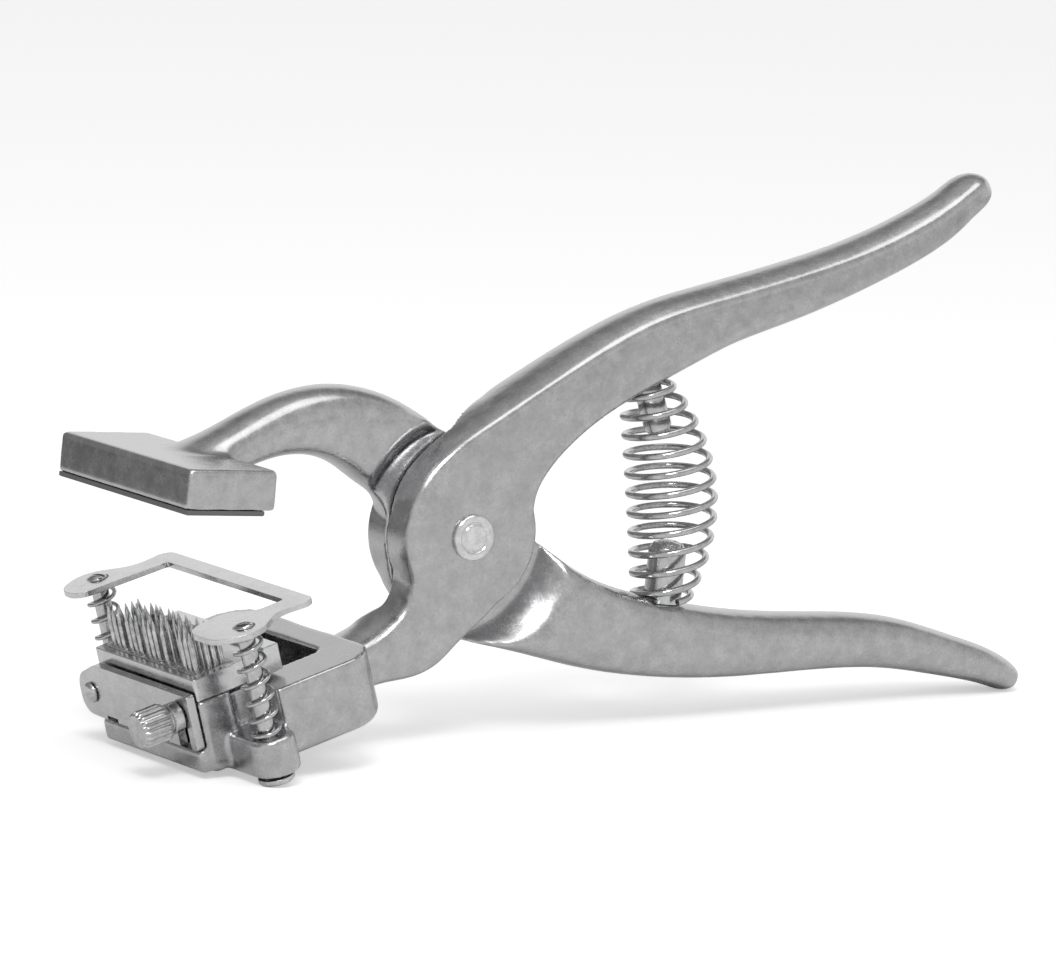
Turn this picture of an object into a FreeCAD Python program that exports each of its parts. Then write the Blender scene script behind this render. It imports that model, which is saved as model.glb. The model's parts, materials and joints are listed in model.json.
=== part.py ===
import FreeCAD, Part
import math
import os

# Tattoo pliers for marking ears: two cast levers lapped on a rivet, a needle cassette locked in the
# lower jaw, a sprung release frame on two guide posts, and an anvil with a rubber pad above.
# All lengths are in millimetres and all angles in degrees.
#
# The model is drawn with the pivot at the origin and the lower jaw level: +X runs to the handles,
# Y along the pivot (negative is the near side) and +Z up. The last step tips the pliers to stand on
# the two post nuts and the lower handle's end, with the origin at the middle of the base.

V = FreeCAD.Vector

# Pivot and lapped hubs
opening_angle = 19.65
hub_radius = 18.2
hub_width = 18.0
hub_rim = 1.6
lap_gap = 0.3
pocket_radius = 24.6
flare_radius = 32.0
rivet_radius = 4.0
rivet_head_radius = 5.4
rivet_head_height = 1.1
rivet_rim = 0.35
rivet_dome_radius = 2.9
rivet_ring = 0.5
rivet_dish_depth = 0.45

# Springs are wound in this many steps a turn, from wire with this many flats
coil_steps = 10
wire_sides = 6

# Clearances, how far cutters run past a face, spare depth of a blind hole and how close counts as level
fixed_clearance = 0.03
running_clearance = 0.05
body_clearance = 0.3
over = 1.0
hole_spare = 0.5
level = 0.01

# Front lever: crest of the back, crest of the belly, width and crown at each section, from the
# upper handle's end down through the hub to the lower jaw
front_lever_sections = [
    (156.8, 36.3, 159.6, 27.8, 13.0, 2.0),
    (141.0, 32.9, 144.5, 22.4, 14.4, 2.4),
    (120.0, 31.7, 122.5, 19.6, 15.4, 2.6),
    (97.0, 32.8, 99.0, 18.7, 16.0, 2.8),
    (73.0, 34.7, 77.0, 18.3, 16.4, 2.8),
    (50.0, 33.7, 56.0, 16.0, 17.0, 2.4),
    (30.0, 29.8, 38.5, 12.8, 17.6, 2.0),
    (12.0, 25.8, 22.0, 4.5, 18.0, 1.7),
    (-4.5, 20.8, 17.0, -5.0, 18.0, 1.5),
    (-15.0, 10.5, 8.5, -15.6, 18.0, 1.4),
    (-17.8, -2.5, -3.5, -22.3, 18.0, 1.6),
    (-21.4, -9.2, -13.0, -27.3, 17.4, 2.2),
    (-27.5, -12.7, -24.0, -28.5, 16.4, 2.5),
    (-36.0, -14.2, -35.0, -27.7, 16.2, 2.4),
    (-45.5, -14.4, -45.5, -26.1, 16.0, 2.2),
]
front_tip_length = 6.0

# Rear lever, in its own frame with the anvil level, from the lower handle's end to the anvil
rear_lever_sections = [
    (163.2, -29.9, 160.0, -37.2, 13.0, 2.0),
    (147.5, -24.5, 145.0, -34.5, 14.4, 2.4),
    (127.5, -19.9, 126.5, -32.4, 15.4, 2.6),
    (104.0, -18.8, 104.0, -32.8, 16.0, 2.8),
    (81.0, -18.2, 80.0, -34.4, 16.4, 2.8),
    (60.0, -15.6, 57.0, -34.2, 17.0, 2.4),
    (42.0, -11.6, 36.0, -31.7, 17.6, 2.0),
    (28.5, -5.4, 17.0, -27.8, 18.0, 1.7),
    (17.2, 5.0, -4.0, -22.5, 18.0, 1.5),
    (6.5, 18.5, -16.5, -8.5, 18.0, 1.4),
    (-6.5, 24.4, -18.8, 5.0, 18.0, 1.6),
    (-18.5, 30.4, -26.3, 10.6, 17.4, 2.2),
    (-32.5, 33.9, -34.2, 15.2, 16.4, 2.5),
    (-46.5, 32.5, -43.5, 17.6, 16.0, 2.6),
    (-59.0, 27.3, -54.0, 16.2, 16.0, 2.5),
    (-69.0, 22.0, -64.0, 12.6, 16.6, 2.2),
    (-79.5, 17.6, -75.5, 11.8, 17.0, 1.4),
]
rear_tip_length = 5.5
front_edge_radius = 1.1
rear_edge_radius = 3.0
tip_steps = (0.55, 0.85, 0.98)

# Anvil on the rear lever
anvil_front = -90.0
anvil_depth = 23.4
anvil_width = 58.6
anvil_height = 9.3
anvil_base = 8.7
anvil_edge = 1.2
anvil_base_edge = 0.5
pad_thickness = 1.2
pad_margin = 0.3
pad_rear_step = 2.8
pad_edge = 0.4

# Handle spring and its two studs
spring_seat_x = 59.5
spring_seat_drop = 15.9
lower_seat_x = 61.0
spring_wire_radius = 0.82
spring_top_radius = 6.0
spring_middle_radius = 10.2
spring_bottom_radius = 6.8
spring_turns = 11.5
closed_turns = 0.5
spring_bow = 5.0
upper_stud_radius = 3.3
upper_stud_length = 13.5
lower_stud_radius = 4.5
lower_stud_length = 15.0
stud_lean = 0.6
stud_spigot_radius = 2.2
stud_spigot_length = 5.0
spot_face_depth = 0.9
spot_face_margin = 1.0
spot_face_reach = 6.0

# Type cassette
cassette_front = -86.0
cassette_depth = 23.3
cassette_base = -7.8
cassette_top = -2.4
cassette_end_wall = 2.2
cassette_front_wall = 2.0
cassette_rail_depth = 4.1
cassette_rail_rise = 1.0
cassette_corner = 0.7
type_count = 5
type_pitch = 8.0
type_depth = 10.0
type_play = 0.05
type_proud = 0.15

# Needles of one type, on a grid of three columns and five rows
needle_radius = 0.6
needle_sides = 8
needle_tip_radius = 0.12
needle_tip_length = 2.4
needle_top = 7.1
needle_column_pitch = 2.2
needle_row_pitch = 1.7
numeral_rows = {
    1: ("010", "110", "010", "010", "111"),
    2: ("111", "001", "111", "100", "111"),
    3: ("111", "001", "111", "001", "111"),
    4: ("101", "101", "111", "001", "001"),
    5: ("111", "100", "111", "001", "111"),
}

# Lower jaw casting
jaw_bottom = -25.8
jaw_floor = -19.1
jaw_wall_top = -8.8
front_block_half_width = 23.0
front_block_depth = 8.7
block_front_corner = 0.8
block_rear_corner = 2.4
recess_half_width = 21.0
recess_step = 0.6
recess_corner = 0.5
side_wall_front = -70.0
wall_inner_corner = 1.5
wall_outer_corner = 1.2
jaw_half_width = 31.0
jaw_rear = -41.8
rear_wall = 7.5
jaw_rear_corner = 9.0
jaw_bottom_edge = 3.5
bay_setback = 1.5
bay_half_width = 17.0
bay_corner = 3.0
ledge_thickness = 5.4
ledge_reach = 2.2
ledge_half_width = 22.2
ledge_setback = 0.2
ledge_edge = 1.2
seam_depth = 0.4
seam_height = 0.4

# Latch plate, its pivot screw and the thumb screw
plate_thickness = 2.0
plate_half_width = 22.2
plate_lift = 0.4
plate_corner = 0.6
plate_top = -5.6
latch_pivot_y = 23.1
latch_pivot_z = -12.8
latch_end_radius = 5.6
latch_shoulder_radius = 3.0
latch_screw_radius = 1.6
latch_screw_head = 2.5
latch_screw_head_height = 1.2
latch_screw_depth = 6.0
latch_boss_radius = 4.4
screw_slot = 0.7
thumb_y = -17.2
thumb_z = -10.8
thumb_neck_radius = 1.8
thumb_slot_width = 5.2
thumb_collar_radius = 3.6
thumb_collar_length = 2.6
thumb_groove_radius = 2.9
thumb_groove_length = 0.9
thumb_head_radius = 4.5
thumb_head_length = 7.4
thumb_thread_length = 7.0
knurl_teeth = 18
knurl_depth = 0.55
knurl_chamfer = 0.6
pry_notch_y = 15.8
pry_notch_width = 4.8
pry_notch_height = 1.0

# Release frame, guide posts and their springs
post_x = -76.0
post_y = 33.0
post_radius = 2.0
frame_base = 7.9
frame_thickness = 1.3
frame_back = -56.4
frame_window_back = -61.0
frame_half_width = 33.4
frame_window_half_width = 26.0
frame_corner = 3.0
window_corner = 0.8
# The frame's ears round the posts: corners by distance behind the post, distance outside it and radius
far_ear = [(9.5, -1.2, 8.0), (0.0, 7.2, 8.0), (-9.2, 2.0, 6.0), (-9.2, -6.0, 4.0)]
near_ear = [(9.5, -1.2, 8.0), (0.0, 7.2, 8.0), (-9.2, 2.0, 6.0), (-9.2, -11.0, 6.0),
            (3.0, -13.4, 6.0), (7.5, -6.8, 4.0)]
frame_screw_head = 2.6
frame_screw_head_height = 0.9
frame_screw_rim = 0.1
frame_screw_shank = 1.1
frame_screw_length = 5.0
lug_ahead = 4.8
lug_behind = 6.4
lug_wall = 5.0
lug_top = -17.3
lug_bottom = -26.5
lug_corner = 5.2
lug_root_corner = 0.2
lug_edge = 1.4
nut_radius = 4.2
nut_height = 1.4
nut_edge = 0.5
post_recess = 0.3
post_spring_radius = 3.2
post_spring_wire = 0.5
post_spring_turns = 6.5


def on_plan(height):
    """Place outline values x, y on a level plane at this height."""
    return lambda u, v: V(u, v, height)


def on_front(distance):
    """Place outline values y, z on an upright plane across the jaw at this x."""
    return lambda u, v: V(distance, u, v)


def rounded_face(corners, place):
    """Flat face with each corner (u, v, radius) rounded by a tangent arc."""
    joins = []
    for i, (u, v, radius) in enumerate(corners):
        before = corners[i - 1]
        after = corners[(i + 1) % len(corners)]
        run_in = math.hypot(before[0] - u, before[1] - v)
        run_out = math.hypot(after[0] - u, after[1] - v)
        back = ((before[0] - u) / run_in, (before[1] - v) / run_in)
        ahead = ((after[0] - u) / run_out, (after[1] - v) / run_out)
        half_angle = 0.5 * math.acos(max(-1.0, min(1.0, back[0] * ahead[0] + back[1] * ahead[1])))
        reach = min(radius / math.tan(half_angle), 0.49 * run_in, 0.49 * run_out)
        sag = reach * (1.0 / math.cos(half_angle) - math.tan(half_angle))
        spread = math.hypot(back[0] + ahead[0], back[1] + ahead[1])
        middle = (u + sag * (back[0] + ahead[0]) / spread, v + sag * (back[1] + ahead[1]) / spread)
        joins.append((
            place(u + back[0] * reach, v + back[1] * reach),
            place(*middle),
            place(u + ahead[0] * reach, v + ahead[1] * reach),
            reach,
        ))
    edges = []
    for i, (start, middle, end, reach) in enumerate(joins):
        previous_end = joins[i - 1][2]
        if previous_end.distanceToPoint(start) > 1e-6:
            edges.append(Part.LineSegment(previous_end, start).toShape())
        if reach > 1e-6:
            edges.append(Part.Arc(start, middle, end).toShape())
    return Part.Face(Part.Wire(edges))


def mirrored_outline(half):
    """Close a half outline of (x, y, radius) corners by its mirror image across y = 0."""
    return list(half) + [(x, -y, radius) for x, y, radius in reversed(half)]


def box_between(low, high):
    """Box from its lowest to its highest corner."""
    return Part.makeBox(high[0] - low[0], high[1] - low[1], high[2] - low[2], V(*low))


def turned(profile, origin, axis):
    """Solid of revolution of a closed (distance along axis, radius) outline, about Y or an axis across Y."""
    side = V(0, 0, 1) if abs(axis.y) > 0.5 else V(0, 1, 0)
    points = [origin + axis * along + side * radius for along, radius in profile]
    wire = Part.makePolygon(points + [points[0]])
    return Part.Face(wire).revolve(origin, axis, 360.0)


def limb_section(upper, lower, width, crown, edge, shift, scale):
    """Wire across a limb: flat sides, crowned back and belly, and softened edges."""
    middle = V(0.5 * (upper[0] + lower[0]), 0, 0.5 * (upper[1] + lower[1]))
    rise = V(upper[0] - lower[0], 0, upper[1] - lower[1])
    half_height = 0.5 * rise.Length * scale
    rise.normalize()
    ahead = V(rise.z, 0, -rise.x)
    centre = middle + ahead * shift
    half_width = 0.5 * width * scale
    crown = crown * scale
    edge = min(edge * scale, 0.8 * (half_height - crown))
    arc_radius = (half_width ** 2 + crown ** 2) / (2.0 * crown)
    inner = half_width - edge
    edge_drop = arc_radius - math.sqrt(arc_radius ** 2 - inner ** 2)

    def at(across, up):
        return centre + V(0, across, 0) + rise * up

    def corner_arc(side, top, first, last):
        corner = at(side * half_width, top * (half_height - crown))
        chord = (first + last) * 0.5
        return Part.Arc(first, chord + (corner - chord) * 0.414, last).toShape()

    side_end = half_height - crown - edge
    crest_end = half_height - edge_drop
    right_low, right_high = at(half_width, -side_end), at(half_width, side_end)
    left_low, left_high = at(-half_width, -side_end), at(-half_width, side_end)
    back_right, back_left = at(inner, crest_end), at(-inner, crest_end)
    belly_right, belly_left = at(inner, -crest_end), at(-inner, -crest_end)
    return Part.Wire([
        Part.LineSegment(right_low, right_high).toShape(),
        corner_arc(1, 1, right_high, back_right),
        Part.Arc(back_right, at(0, half_height), back_left).toShape(),
        corner_arc(-1, 1, back_left, left_high),
        Part.LineSegment(left_high, left_low).toShape(),
        corner_arc(-1, -1, left_low, belly_left),
        Part.Arc(belly_left, at(0, -half_height), belly_right).toShape(),
        corner_arc(1, -1, belly_right, right_low),
    ])


def limb(sections, tip_length, edge):
    """Loft a lever from its rounded handle end through all its sections."""
    wires = []
    ux, uz, lx, lz, width, crown = sections[0]
    for step in reversed(tip_steps):
        scale = math.sqrt(1.0 - step ** 2)
        wires.append(limb_section((ux, uz), (lx, lz), width, crown, edge, tip_length * step, scale))
    for ux, uz, lx, lz, width, crown in sections:
        wires.append(limb_section((ux, uz), (lx, lz), width, crown, edge, 0.0, 1.0))
    return Part.makeLoft(wires, True, False)


def lap_pocket(side):
    """Round pocket, flared to the outer face, that the other lever's hub turns in."""
    slope = (flare_radius - pocket_radius) / (0.5 * hub_width)
    mouth = 0.5 * hub_width + 4.0 * over
    profile = [
        (-0.5 * lap_gap, 0.0),
        (-0.5 * lap_gap, pocket_radius),
        (mouth, pocket_radius + slope * mouth),
        (mouth, 0.0),
    ]
    return turned(profile, V(0, 0, 0), V(0, side, 0))


def hub_disc(side):
    """Half-thickness hub with a rounded rim on its outer face."""
    outer = 0.5 * hub_width
    disc = Part.makeCylinder(hub_radius, outer - 0.5 * lap_gap, V(0, side * 0.5 * lap_gap, 0),
                             V(0, side, 0))
    rim = [edge for edge in disc.Edges
           if isinstance(edge.Curve, Part.Circle) and abs(abs(edge.Curve.Center.y) - outer) < 1e-6]
    return disc.makeFillet(hub_rim, rim)


def lapped_lever(blank, side):
    """Cut the lap pocket from a lever blank on the far side of its own hub and add the hub."""
    return blank.cut(lap_pocket(-side)).fuse(hub_disc(side)).removeSplitter()


def crest_at(sections, x, back):
    """Height of a lever's back or belly crest at x, between its neighbouring sections."""
    column = 0 if back else 2
    pairs = sorted((row[column], row[column + 1]) for row in sections)
    for (x0, z0), (x1, z1) in zip(pairs, pairs[1:]):
        if x0 <= x <= x1:
            return z0 + (z1 - z0) * (x - x0) / (x1 - x0)
    raise ValueError("no section beside x = %g" % x)


def rear_to_front(shape):
    """Turn a piece drawn with the anvil level to where it stands with the jaws open."""
    placed = shape.copy()
    placed.rotate(V(0, 0, 0), V(0, 1, 0), opening_angle)
    return placed


def rear_point(x, z):
    """Where a point of the rear lever's own frame lies with the jaws open."""
    angle = math.radians(opening_angle)
    return V(x * math.cos(angle) + z * math.sin(angle), 0,
             -x * math.sin(angle) + z * math.cos(angle))


# Spring seats: flats spot-faced into the front lever's belly and the rear lever's back
upper_seat = V(spring_seat_x, 0, crest_at(front_lever_sections, spring_seat_x, False) + spot_face_depth)
lower_crest = crest_at(rear_lever_sections, lower_seat_x, True) - spot_face_depth
lower_seat = rear_point(lower_seat_x, lower_crest)
spring_axis = (lower_seat - upper_seat).normalize()
bow_side = V(-spring_axis.z, 0, spring_axis.x)
seat_lean = 4.0 * spring_bow / upper_seat.distanceToPoint(lower_seat)
upper_stud_axis = (spring_axis + bow_side * seat_lean * stud_lean).normalize()
lower_stud_axis = (spring_axis * -1.0 + bow_side * seat_lean * stud_lean).normalize()


def spot_face(seat, axis, spring_radius):
    """Cutter for the round flat that the end coil sits in."""
    return Part.makeCylinder(spring_radius + spring_wire_radius + spot_face_margin, spot_face_reach,
                             seat, axis)


def spigot_hole(seat, axis):
    """Blind hole for a stud's spigot."""
    depth = stud_spigot_length + body_clearance
    return Part.makeCylinder(stud_spigot_radius + fixed_clearance, depth, seat - axis * depth, axis)


def spring_stud(seat, axis, radius, length):
    """Round stud with a domed end, a body inside the coils and a spigot in the lever."""
    return turned([
        (-stud_spigot_length, 0.0),
        (-stud_spigot_length, stud_spigot_radius),
        (0.0, stud_spigot_radius),
        (0.0, radius),
        (length - 0.5 * radius, radius),
        (length - 0.15 * radius, 0.78 * radius),
        (length, 0.4 * radius),
        (length, 0.0),
    ], seat, axis)


def coil(start, end, bow, turns, mean_radius, wire_radius):
    """Coil spring between two seats; mean_radius gives the winding radius along it."""
    axis = (end - start).normalize()
    across = V(0, 1, 0)
    beside = axis.cross(across)
    closed_pitch = 2.3 * wire_radius
    length = start.distanceToPoint(end) - 2.0 * wire_radius
    open_pitch = (length - 2.0 * closed_turns * closed_pitch) / (turns - 2.0 * closed_turns)
    rings = []
    for i in range(int(turns * coil_steps) + 1):
        turn = i / coil_steps
        along = closed_pitch * min(turn, closed_turns)
        along += open_pitch * min(max(turn - closed_turns, 0.0), turns - 2.0 * closed_turns)
        along += closed_pitch * max(turn - turns + closed_turns, 0.0)
        share = along / length
        angle = 2.0 * math.pi * turn
        outward = across * math.cos(angle) + beside * math.sin(angle)
        centre = start + axis * (wire_radius + along) + bow * (4.0 * share * (1.0 - share))
        centre += outward * mean_radius(share)
        ring = []
        for side in range(wire_sides):
            turned_by = 2.0 * math.pi * (side + 0.5) / wire_sides
            ring.append(centre + outward * (wire_radius * math.cos(turned_by))
                        + axis * (wire_radius * math.sin(turned_by)))
        rings.append(Part.makePolygon(ring + [ring[0]]))
    return Part.makeLoft(rings, True, True)


def barrel_radius(share):
    """Winding radius of the barrel spring: small at both ends and full in the middle."""
    upper = 2.0 * (share - 0.5) * (share - 1.0) * spring_top_radius
    middle = -4.0 * share * (share - 1.0) * spring_middle_radius
    lower = 2.0 * share * (share - 0.5) * spring_bottom_radius
    return upper + middle + lower


def make_handle_spring():
    """Barrel spring that pushes the handles apart, bowed by their angle."""
    return coil(upper_seat + spring_axis * body_clearance, lower_seat - spring_axis * body_clearance,
                bow_side * spring_bow, spring_turns, barrel_radius, spring_wire_radius)


cassette_rear = cassette_front + cassette_depth
jaw_front = cassette_front - 0.2
plate_rear = jaw_front - 0.4
plate_front = plate_rear - plate_thickness
plate_bottom = jaw_floor + plate_lift
block_rear = jaw_front + front_block_depth


def jaw_outline(height):
    """Plan of the casting: front block, spring recesses, side walls and rounded rear corners."""
    return rounded_face(mirrored_outline([
        (jaw_front, front_block_half_width, block_front_corner),
        (block_rear, front_block_half_width, block_rear_corner),
        (block_rear + recess_step, recess_half_width, recess_corner),
        (side_wall_front, recess_half_width, wall_inner_corner),
        (side_wall_front, jaw_half_width, wall_outer_corner),
        (jaw_rear, jaw_half_width, jaw_rear_corner),
    ]), on_plan(height))


def make_jaw_casting():
    """Open box of the lower jaw with its ledge, latch boss and two post lugs."""
    body = jaw_outline(jaw_bottom).extrude(V(0, 0, cassette_base - jaw_bottom))
    bottom_edges = [edge for edge in body.Edges
                    if edge.BoundBox.ZMax < jaw_bottom + level and edge.BoundBox.XMax > side_wall_front + level]
    body = body.makeFillet(jaw_bottom_edge, bottom_edges)
    wall_trim = box_between((block_rear - level, -2 * jaw_half_width, jaw_wall_top),
                            (jaw_rear + over, 2 * jaw_half_width, cassette_base + over))
    bay_rear = jaw_rear - rear_wall
    bay = rounded_face(mirrored_outline([
        (block_rear + bay_setback, bay_half_width, bay_corner),
        (bay_rear, bay_half_width, bay_corner),
    ]), on_plan(jaw_floor)).extrude(V(0, 0, cassette_top - jaw_floor))
    ledge = box_between((plate_front + ledge_setback, -ledge_half_width, jaw_floor - ledge_thickness),
                        (jaw_front + 2 * over, ledge_half_width, jaw_floor))
    nose = [edge for edge in ledge.Edges if edge.BoundBox.XMax < plate_front + ledge_setback + level]
    ledge = ledge.makeFillet(ledge_edge, nose)
    boss = Part.makeCylinder(latch_boss_radius, front_block_depth - 2 * over,
                             V(jaw_front, latch_pivot_y, latch_pivot_z), V(1, 0, 0))
    seams = [box_between((jaw_front - over, side * front_block_half_width - seam_depth, jaw_floor),
                         (block_rear + over, side * front_block_half_width + seam_depth,
                          jaw_floor + seam_height)) for side in (-1, 1)]
    casting = body.cut([wall_trim, bay] + seams).fuse([ledge, boss])
    return casting.fuse([make_lug(-1), make_lug(1)])


def make_lug(side):
    """Lug that carries a guide post, rounded at its outer end."""
    inner = recess_half_width - 2 * over
    outer = post_y + lug_wall
    corners = [
        (post_x - lug_ahead, inner, lug_root_corner),
        (post_x - lug_ahead, outer, lug_corner),
        (post_x + lug_behind, outer, lug_corner),
        (post_x + lug_behind, inner, lug_root_corner),
    ]
    corners = [(x, side * y, radius) for x, y, radius in corners]
    lug = rounded_face(corners, on_plan(lug_bottom)).extrude(V(0, 0, lug_top - lug_bottom))
    rims = [edge for edge in lug.Edges if edge.BoundBox.ZMax - edge.BoundBox.ZMin < level
            and abs(edge.CenterOfMass.y) > inner + 0.5 * lug_root_corner]
    return lug.makeFillet(lug_edge, rims)


def front_bores():
    """Holes in the front lever: rivet, guide posts, latch screw and thumb screw."""
    bores = [Part.makeCylinder(rivet_radius + fixed_clearance, 2 * hub_width, V(0, -hub_width, 0),
                               V(0, 1, 0))]
    for side in (-1, 1):
        bores.append(Part.makeCylinder(post_radius + running_clearance, lug_top - lug_bottom + 2 * over,
                                       V(post_x, side * post_y, lug_bottom - over)))
    bores.append(Part.makeCylinder(latch_screw_radius + fixed_clearance, latch_screw_depth + hole_spare,
                                   V(jaw_front, latch_pivot_y, latch_pivot_z), V(1, 0, 0)))
    bores.append(Part.makeCylinder(thumb_neck_radius + running_clearance, thumb_thread_length + hole_spare,
                                   V(jaw_front, thumb_y, thumb_z), V(1, 0, 0)))
    return bores


def make_front_lever():
    """Upper handle, near hub, gooseneck and lower jaw in one casting."""
    blank = limb(front_lever_sections, front_tip_length, front_edge_radius)
    lever = lapped_lever(blank, -1).fuse(make_jaw_casting())
    cutters = front_bores() + [
        spot_face(upper_seat, upper_stud_axis, spring_top_radius),
        spigot_hole(upper_seat, upper_stud_axis),
    ]
    return lever.cut(cutters).removeSplitter()


def make_rear_lever():
    """Lower handle, far hub, arched arm and anvil in one casting."""
    blank = limb(rear_lever_sections, rear_tip_length, rear_edge_radius)
    lever = lapped_lever(blank, 1)
    anvil = box_between((anvil_front, -0.5 * anvil_width, anvil_base),
                        (anvil_front + anvil_depth, 0.5 * anvil_width, anvil_base + anvil_height))
    upper_edges = [edge for edge in anvil.Edges if edge.BoundBox.ZMax > anvil_base + level]
    anvil = anvil.makeFillet(anvil_edge, upper_edges)
    base_edges = [edge for edge in anvil.Edges if edge.BoundBox.ZMax < anvil_base + level]
    anvil = anvil.makeFillet(anvil_base_edge, base_edges)
    lever = rear_to_front(lever.fuse(anvil))
    cutters = [
        Part.makeCylinder(rivet_radius + running_clearance, 2 * hub_width, V(0, -hub_width, 0),
                          V(0, 1, 0)),
        spot_face(lower_seat, lower_stud_axis, spring_bottom_radius),
        spigot_hole(lower_seat, lower_stud_axis),
    ]
    return lever.cut(cutters).removeSplitter()


def make_anvil_pad():
    """Rubber pad under the anvil that the needle points meet."""
    pad_rear = anvil_front + anvil_depth - pad_rear_step
    half = 0.5 * anvil_width - pad_margin
    pad = box_between((anvil_front + pad_margin, -half, anvil_base - pad_thickness),
                      (pad_rear, half, anvil_base - fixed_clearance))
    lower = [edge for edge in pad.Edges if edge.BoundBox.ZMax < anvil_base - 0.5 * pad_thickness]
    return rear_to_front(pad.makeFillet(pad_edge, lower))


def make_rivet():
    """Pivot rivet with a dished head on each side."""
    near = -0.5 * hub_width - fixed_clearance
    far = 0.5 * hub_width + body_clearance
    rim = rivet_rim
    profile = [
        (near - rivet_head_height, 0.0),
        (near - rivet_head_height, rivet_dome_radius),
        (near - rivet_head_height + rivet_dish_depth, rivet_dome_radius + rivet_ring),
        (near - rivet_head_height, rivet_dome_radius + 2 * rivet_ring),
        (near - rivet_head_height, rivet_head_radius - rim),
        (near - rivet_head_height + rim, rivet_head_radius),
        (near, rivet_head_radius),
        (near, rivet_radius),
        (far, rivet_radius),
        (far, rivet_head_radius),
        (far + rivet_head_height - rim, rivet_head_radius),
        (far + rivet_head_height, rivet_head_radius - rim),
        (far + rivet_head_height, 0.0),
    ]
    return turned(profile, V(0, 0, 0), V(0, 1, 0))


def make_cassette():
    """Tray that holds the types in a row, with a raised rail along its rear."""
    half = 0.5 * type_count * type_pitch + cassette_end_wall
    body = box_between((cassette_front, -half, cassette_base), (cassette_rear, half, cassette_top))
    corners = [edge for edge in body.Edges if edge.BoundBox.ZMax - edge.BoundBox.ZMin > 1.0]
    body = body.makeFillet(cassette_corner, corners)
    rail = box_between((cassette_rear - cassette_rail_depth, -half, cassette_base),
                       (cassette_rear, half, cassette_top + cassette_rail_rise))
    slot_front = cassette_front + cassette_front_wall
    slot = box_between((slot_front, -0.5 * type_count * type_pitch, cassette_base - over),
                       (slot_front + type_depth, 0.5 * type_count * type_pitch, cassette_top + over))
    return body.fuse(rail).cut(slot).removeSplitter()


def type_middle(number):
    """Middle of a type in its slot, the first type on the far side."""
    y = (0.5 * (type_count + 1) - number) * type_pitch
    return cassette_front + cassette_front_wall + 0.5 * type_depth, y


def needle(foot):
    """Needle with flats and a tapered point, from a little below the block's top."""
    rings = []
    for height, radius in ((foot.z - over, needle_radius), (needle_top - needle_tip_length, needle_radius),
                           (needle_top, needle_tip_radius)):
        ring = []
        for side in range(needle_sides):
            angle = 2.0 * math.pi * (side + 0.5) / needle_sides
            ring.append(V(foot.x + radius * math.cos(angle), foot.y + radius * math.sin(angle), height))
        rings.append(ring)
    flats = [rings[0], rings[-1]]
    for lower, upper in zip(rings, rings[1:]):
        for i in range(needle_sides):
            flats.append([lower[i - 1], lower[i], upper[i], upper[i - 1]])
    faces = [Part.Face(Part.makePolygon(flat + [flat[0]])) for flat in flats]
    return Part.Solid(Part.Shell(faces))


def make_type(number):
    """Type block with its needles set in the mirror image of a plain numeral."""
    x, y = type_middle(number)
    half_depth = 0.5 * type_depth - type_play
    half_width = 0.5 * type_pitch - type_play
    block_top = cassette_top + type_proud
    block = box_between((x - half_depth, y - half_width, cassette_base),
                        (x + half_depth, y + half_width, block_top))
    needles = []
    for row, dots in enumerate(numeral_rows[number]):
        for column, dot in enumerate(dots):
            if dot == "1":
                needles.append(needle(V(x + (2 - row) * needle_row_pitch,
                                        y + (column - 1) * needle_column_pitch, block_top)))
    return block.fuse(needles).removeSplitter()


def make_latch_plate():
    """Plate that locks the cassette in: round about its pivot, slotted over the thumb screw."""
    end = latch_end_radius
    face = rounded_face([
        (-plate_half_width, plate_bottom, plate_corner),
        (-plate_half_width, plate_top, plate_corner),
        (latch_pivot_y - 0.55 * end, plate_top, latch_shoulder_radius),
        (latch_pivot_y + end, latch_pivot_z + 0.6 * end, 0.9 * end),
        (latch_pivot_y + end, latch_pivot_z - end, 0.99 * end),
        (latch_pivot_y - 0.4 * end, plate_bottom, 0.5 * plate_corner),
    ], on_front(plate_front))
    plate = face.extrude(V(plate_thickness, 0, 0))
    length = plate_thickness + 2 * over
    cutters = [
        Part.makeCylinder(latch_screw_radius + running_clearance, length,
                          V(plate_front - over, latch_pivot_y, latch_pivot_z), V(1, 0, 0)),
        Part.makeCylinder(0.5 * thumb_slot_width, length, V(plate_front - over, thumb_y, thumb_z),
                          V(1, 0, 0)),
        box_between((plate_front - over, thumb_y - 0.5 * thumb_slot_width, plate_bottom - over),
                    (plate_rear + over, thumb_y + 0.5 * thumb_slot_width, thumb_z)),
        box_between((plate_front - over, pry_notch_y - 0.5 * pry_notch_width, plate_bottom - over),
                    (plate_rear + over, pry_notch_y + 0.5 * pry_notch_width,
                     plate_bottom + pry_notch_height)),
    ]
    return plate.cut(cutters)


def make_latch_screw():
    """Slotted screw that the latch plate swings on."""
    head_seat = plate_front - body_clearance
    shank = Part.makeCylinder(latch_screw_radius, jaw_front + latch_screw_depth - head_seat,
                              V(head_seat, latch_pivot_y, latch_pivot_z), V(1, 0, 0))
    head = turned([
        (0.0, 0.0),
        (0.0, latch_screw_head),
        (-0.5 * latch_screw_head_height, latch_screw_head),
        (-latch_screw_head_height, 0.6 * latch_screw_head),
        (-latch_screw_head_height, 0.0),
    ], V(head_seat, latch_pivot_y, latch_pivot_z), V(1, 0, 0))
    slot = box_between((head_seat - latch_screw_head_height - over, latch_pivot_y - 0.5 * screw_slot,
                        latch_pivot_z - latch_screw_head - over),
                       (head_seat - 0.4 * latch_screw_head_height, latch_pivot_y + 0.5 * screw_slot,
                        latch_pivot_z + latch_screw_head + over))
    return shank.fuse(head).cut(slot).removeSplitter()


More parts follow.
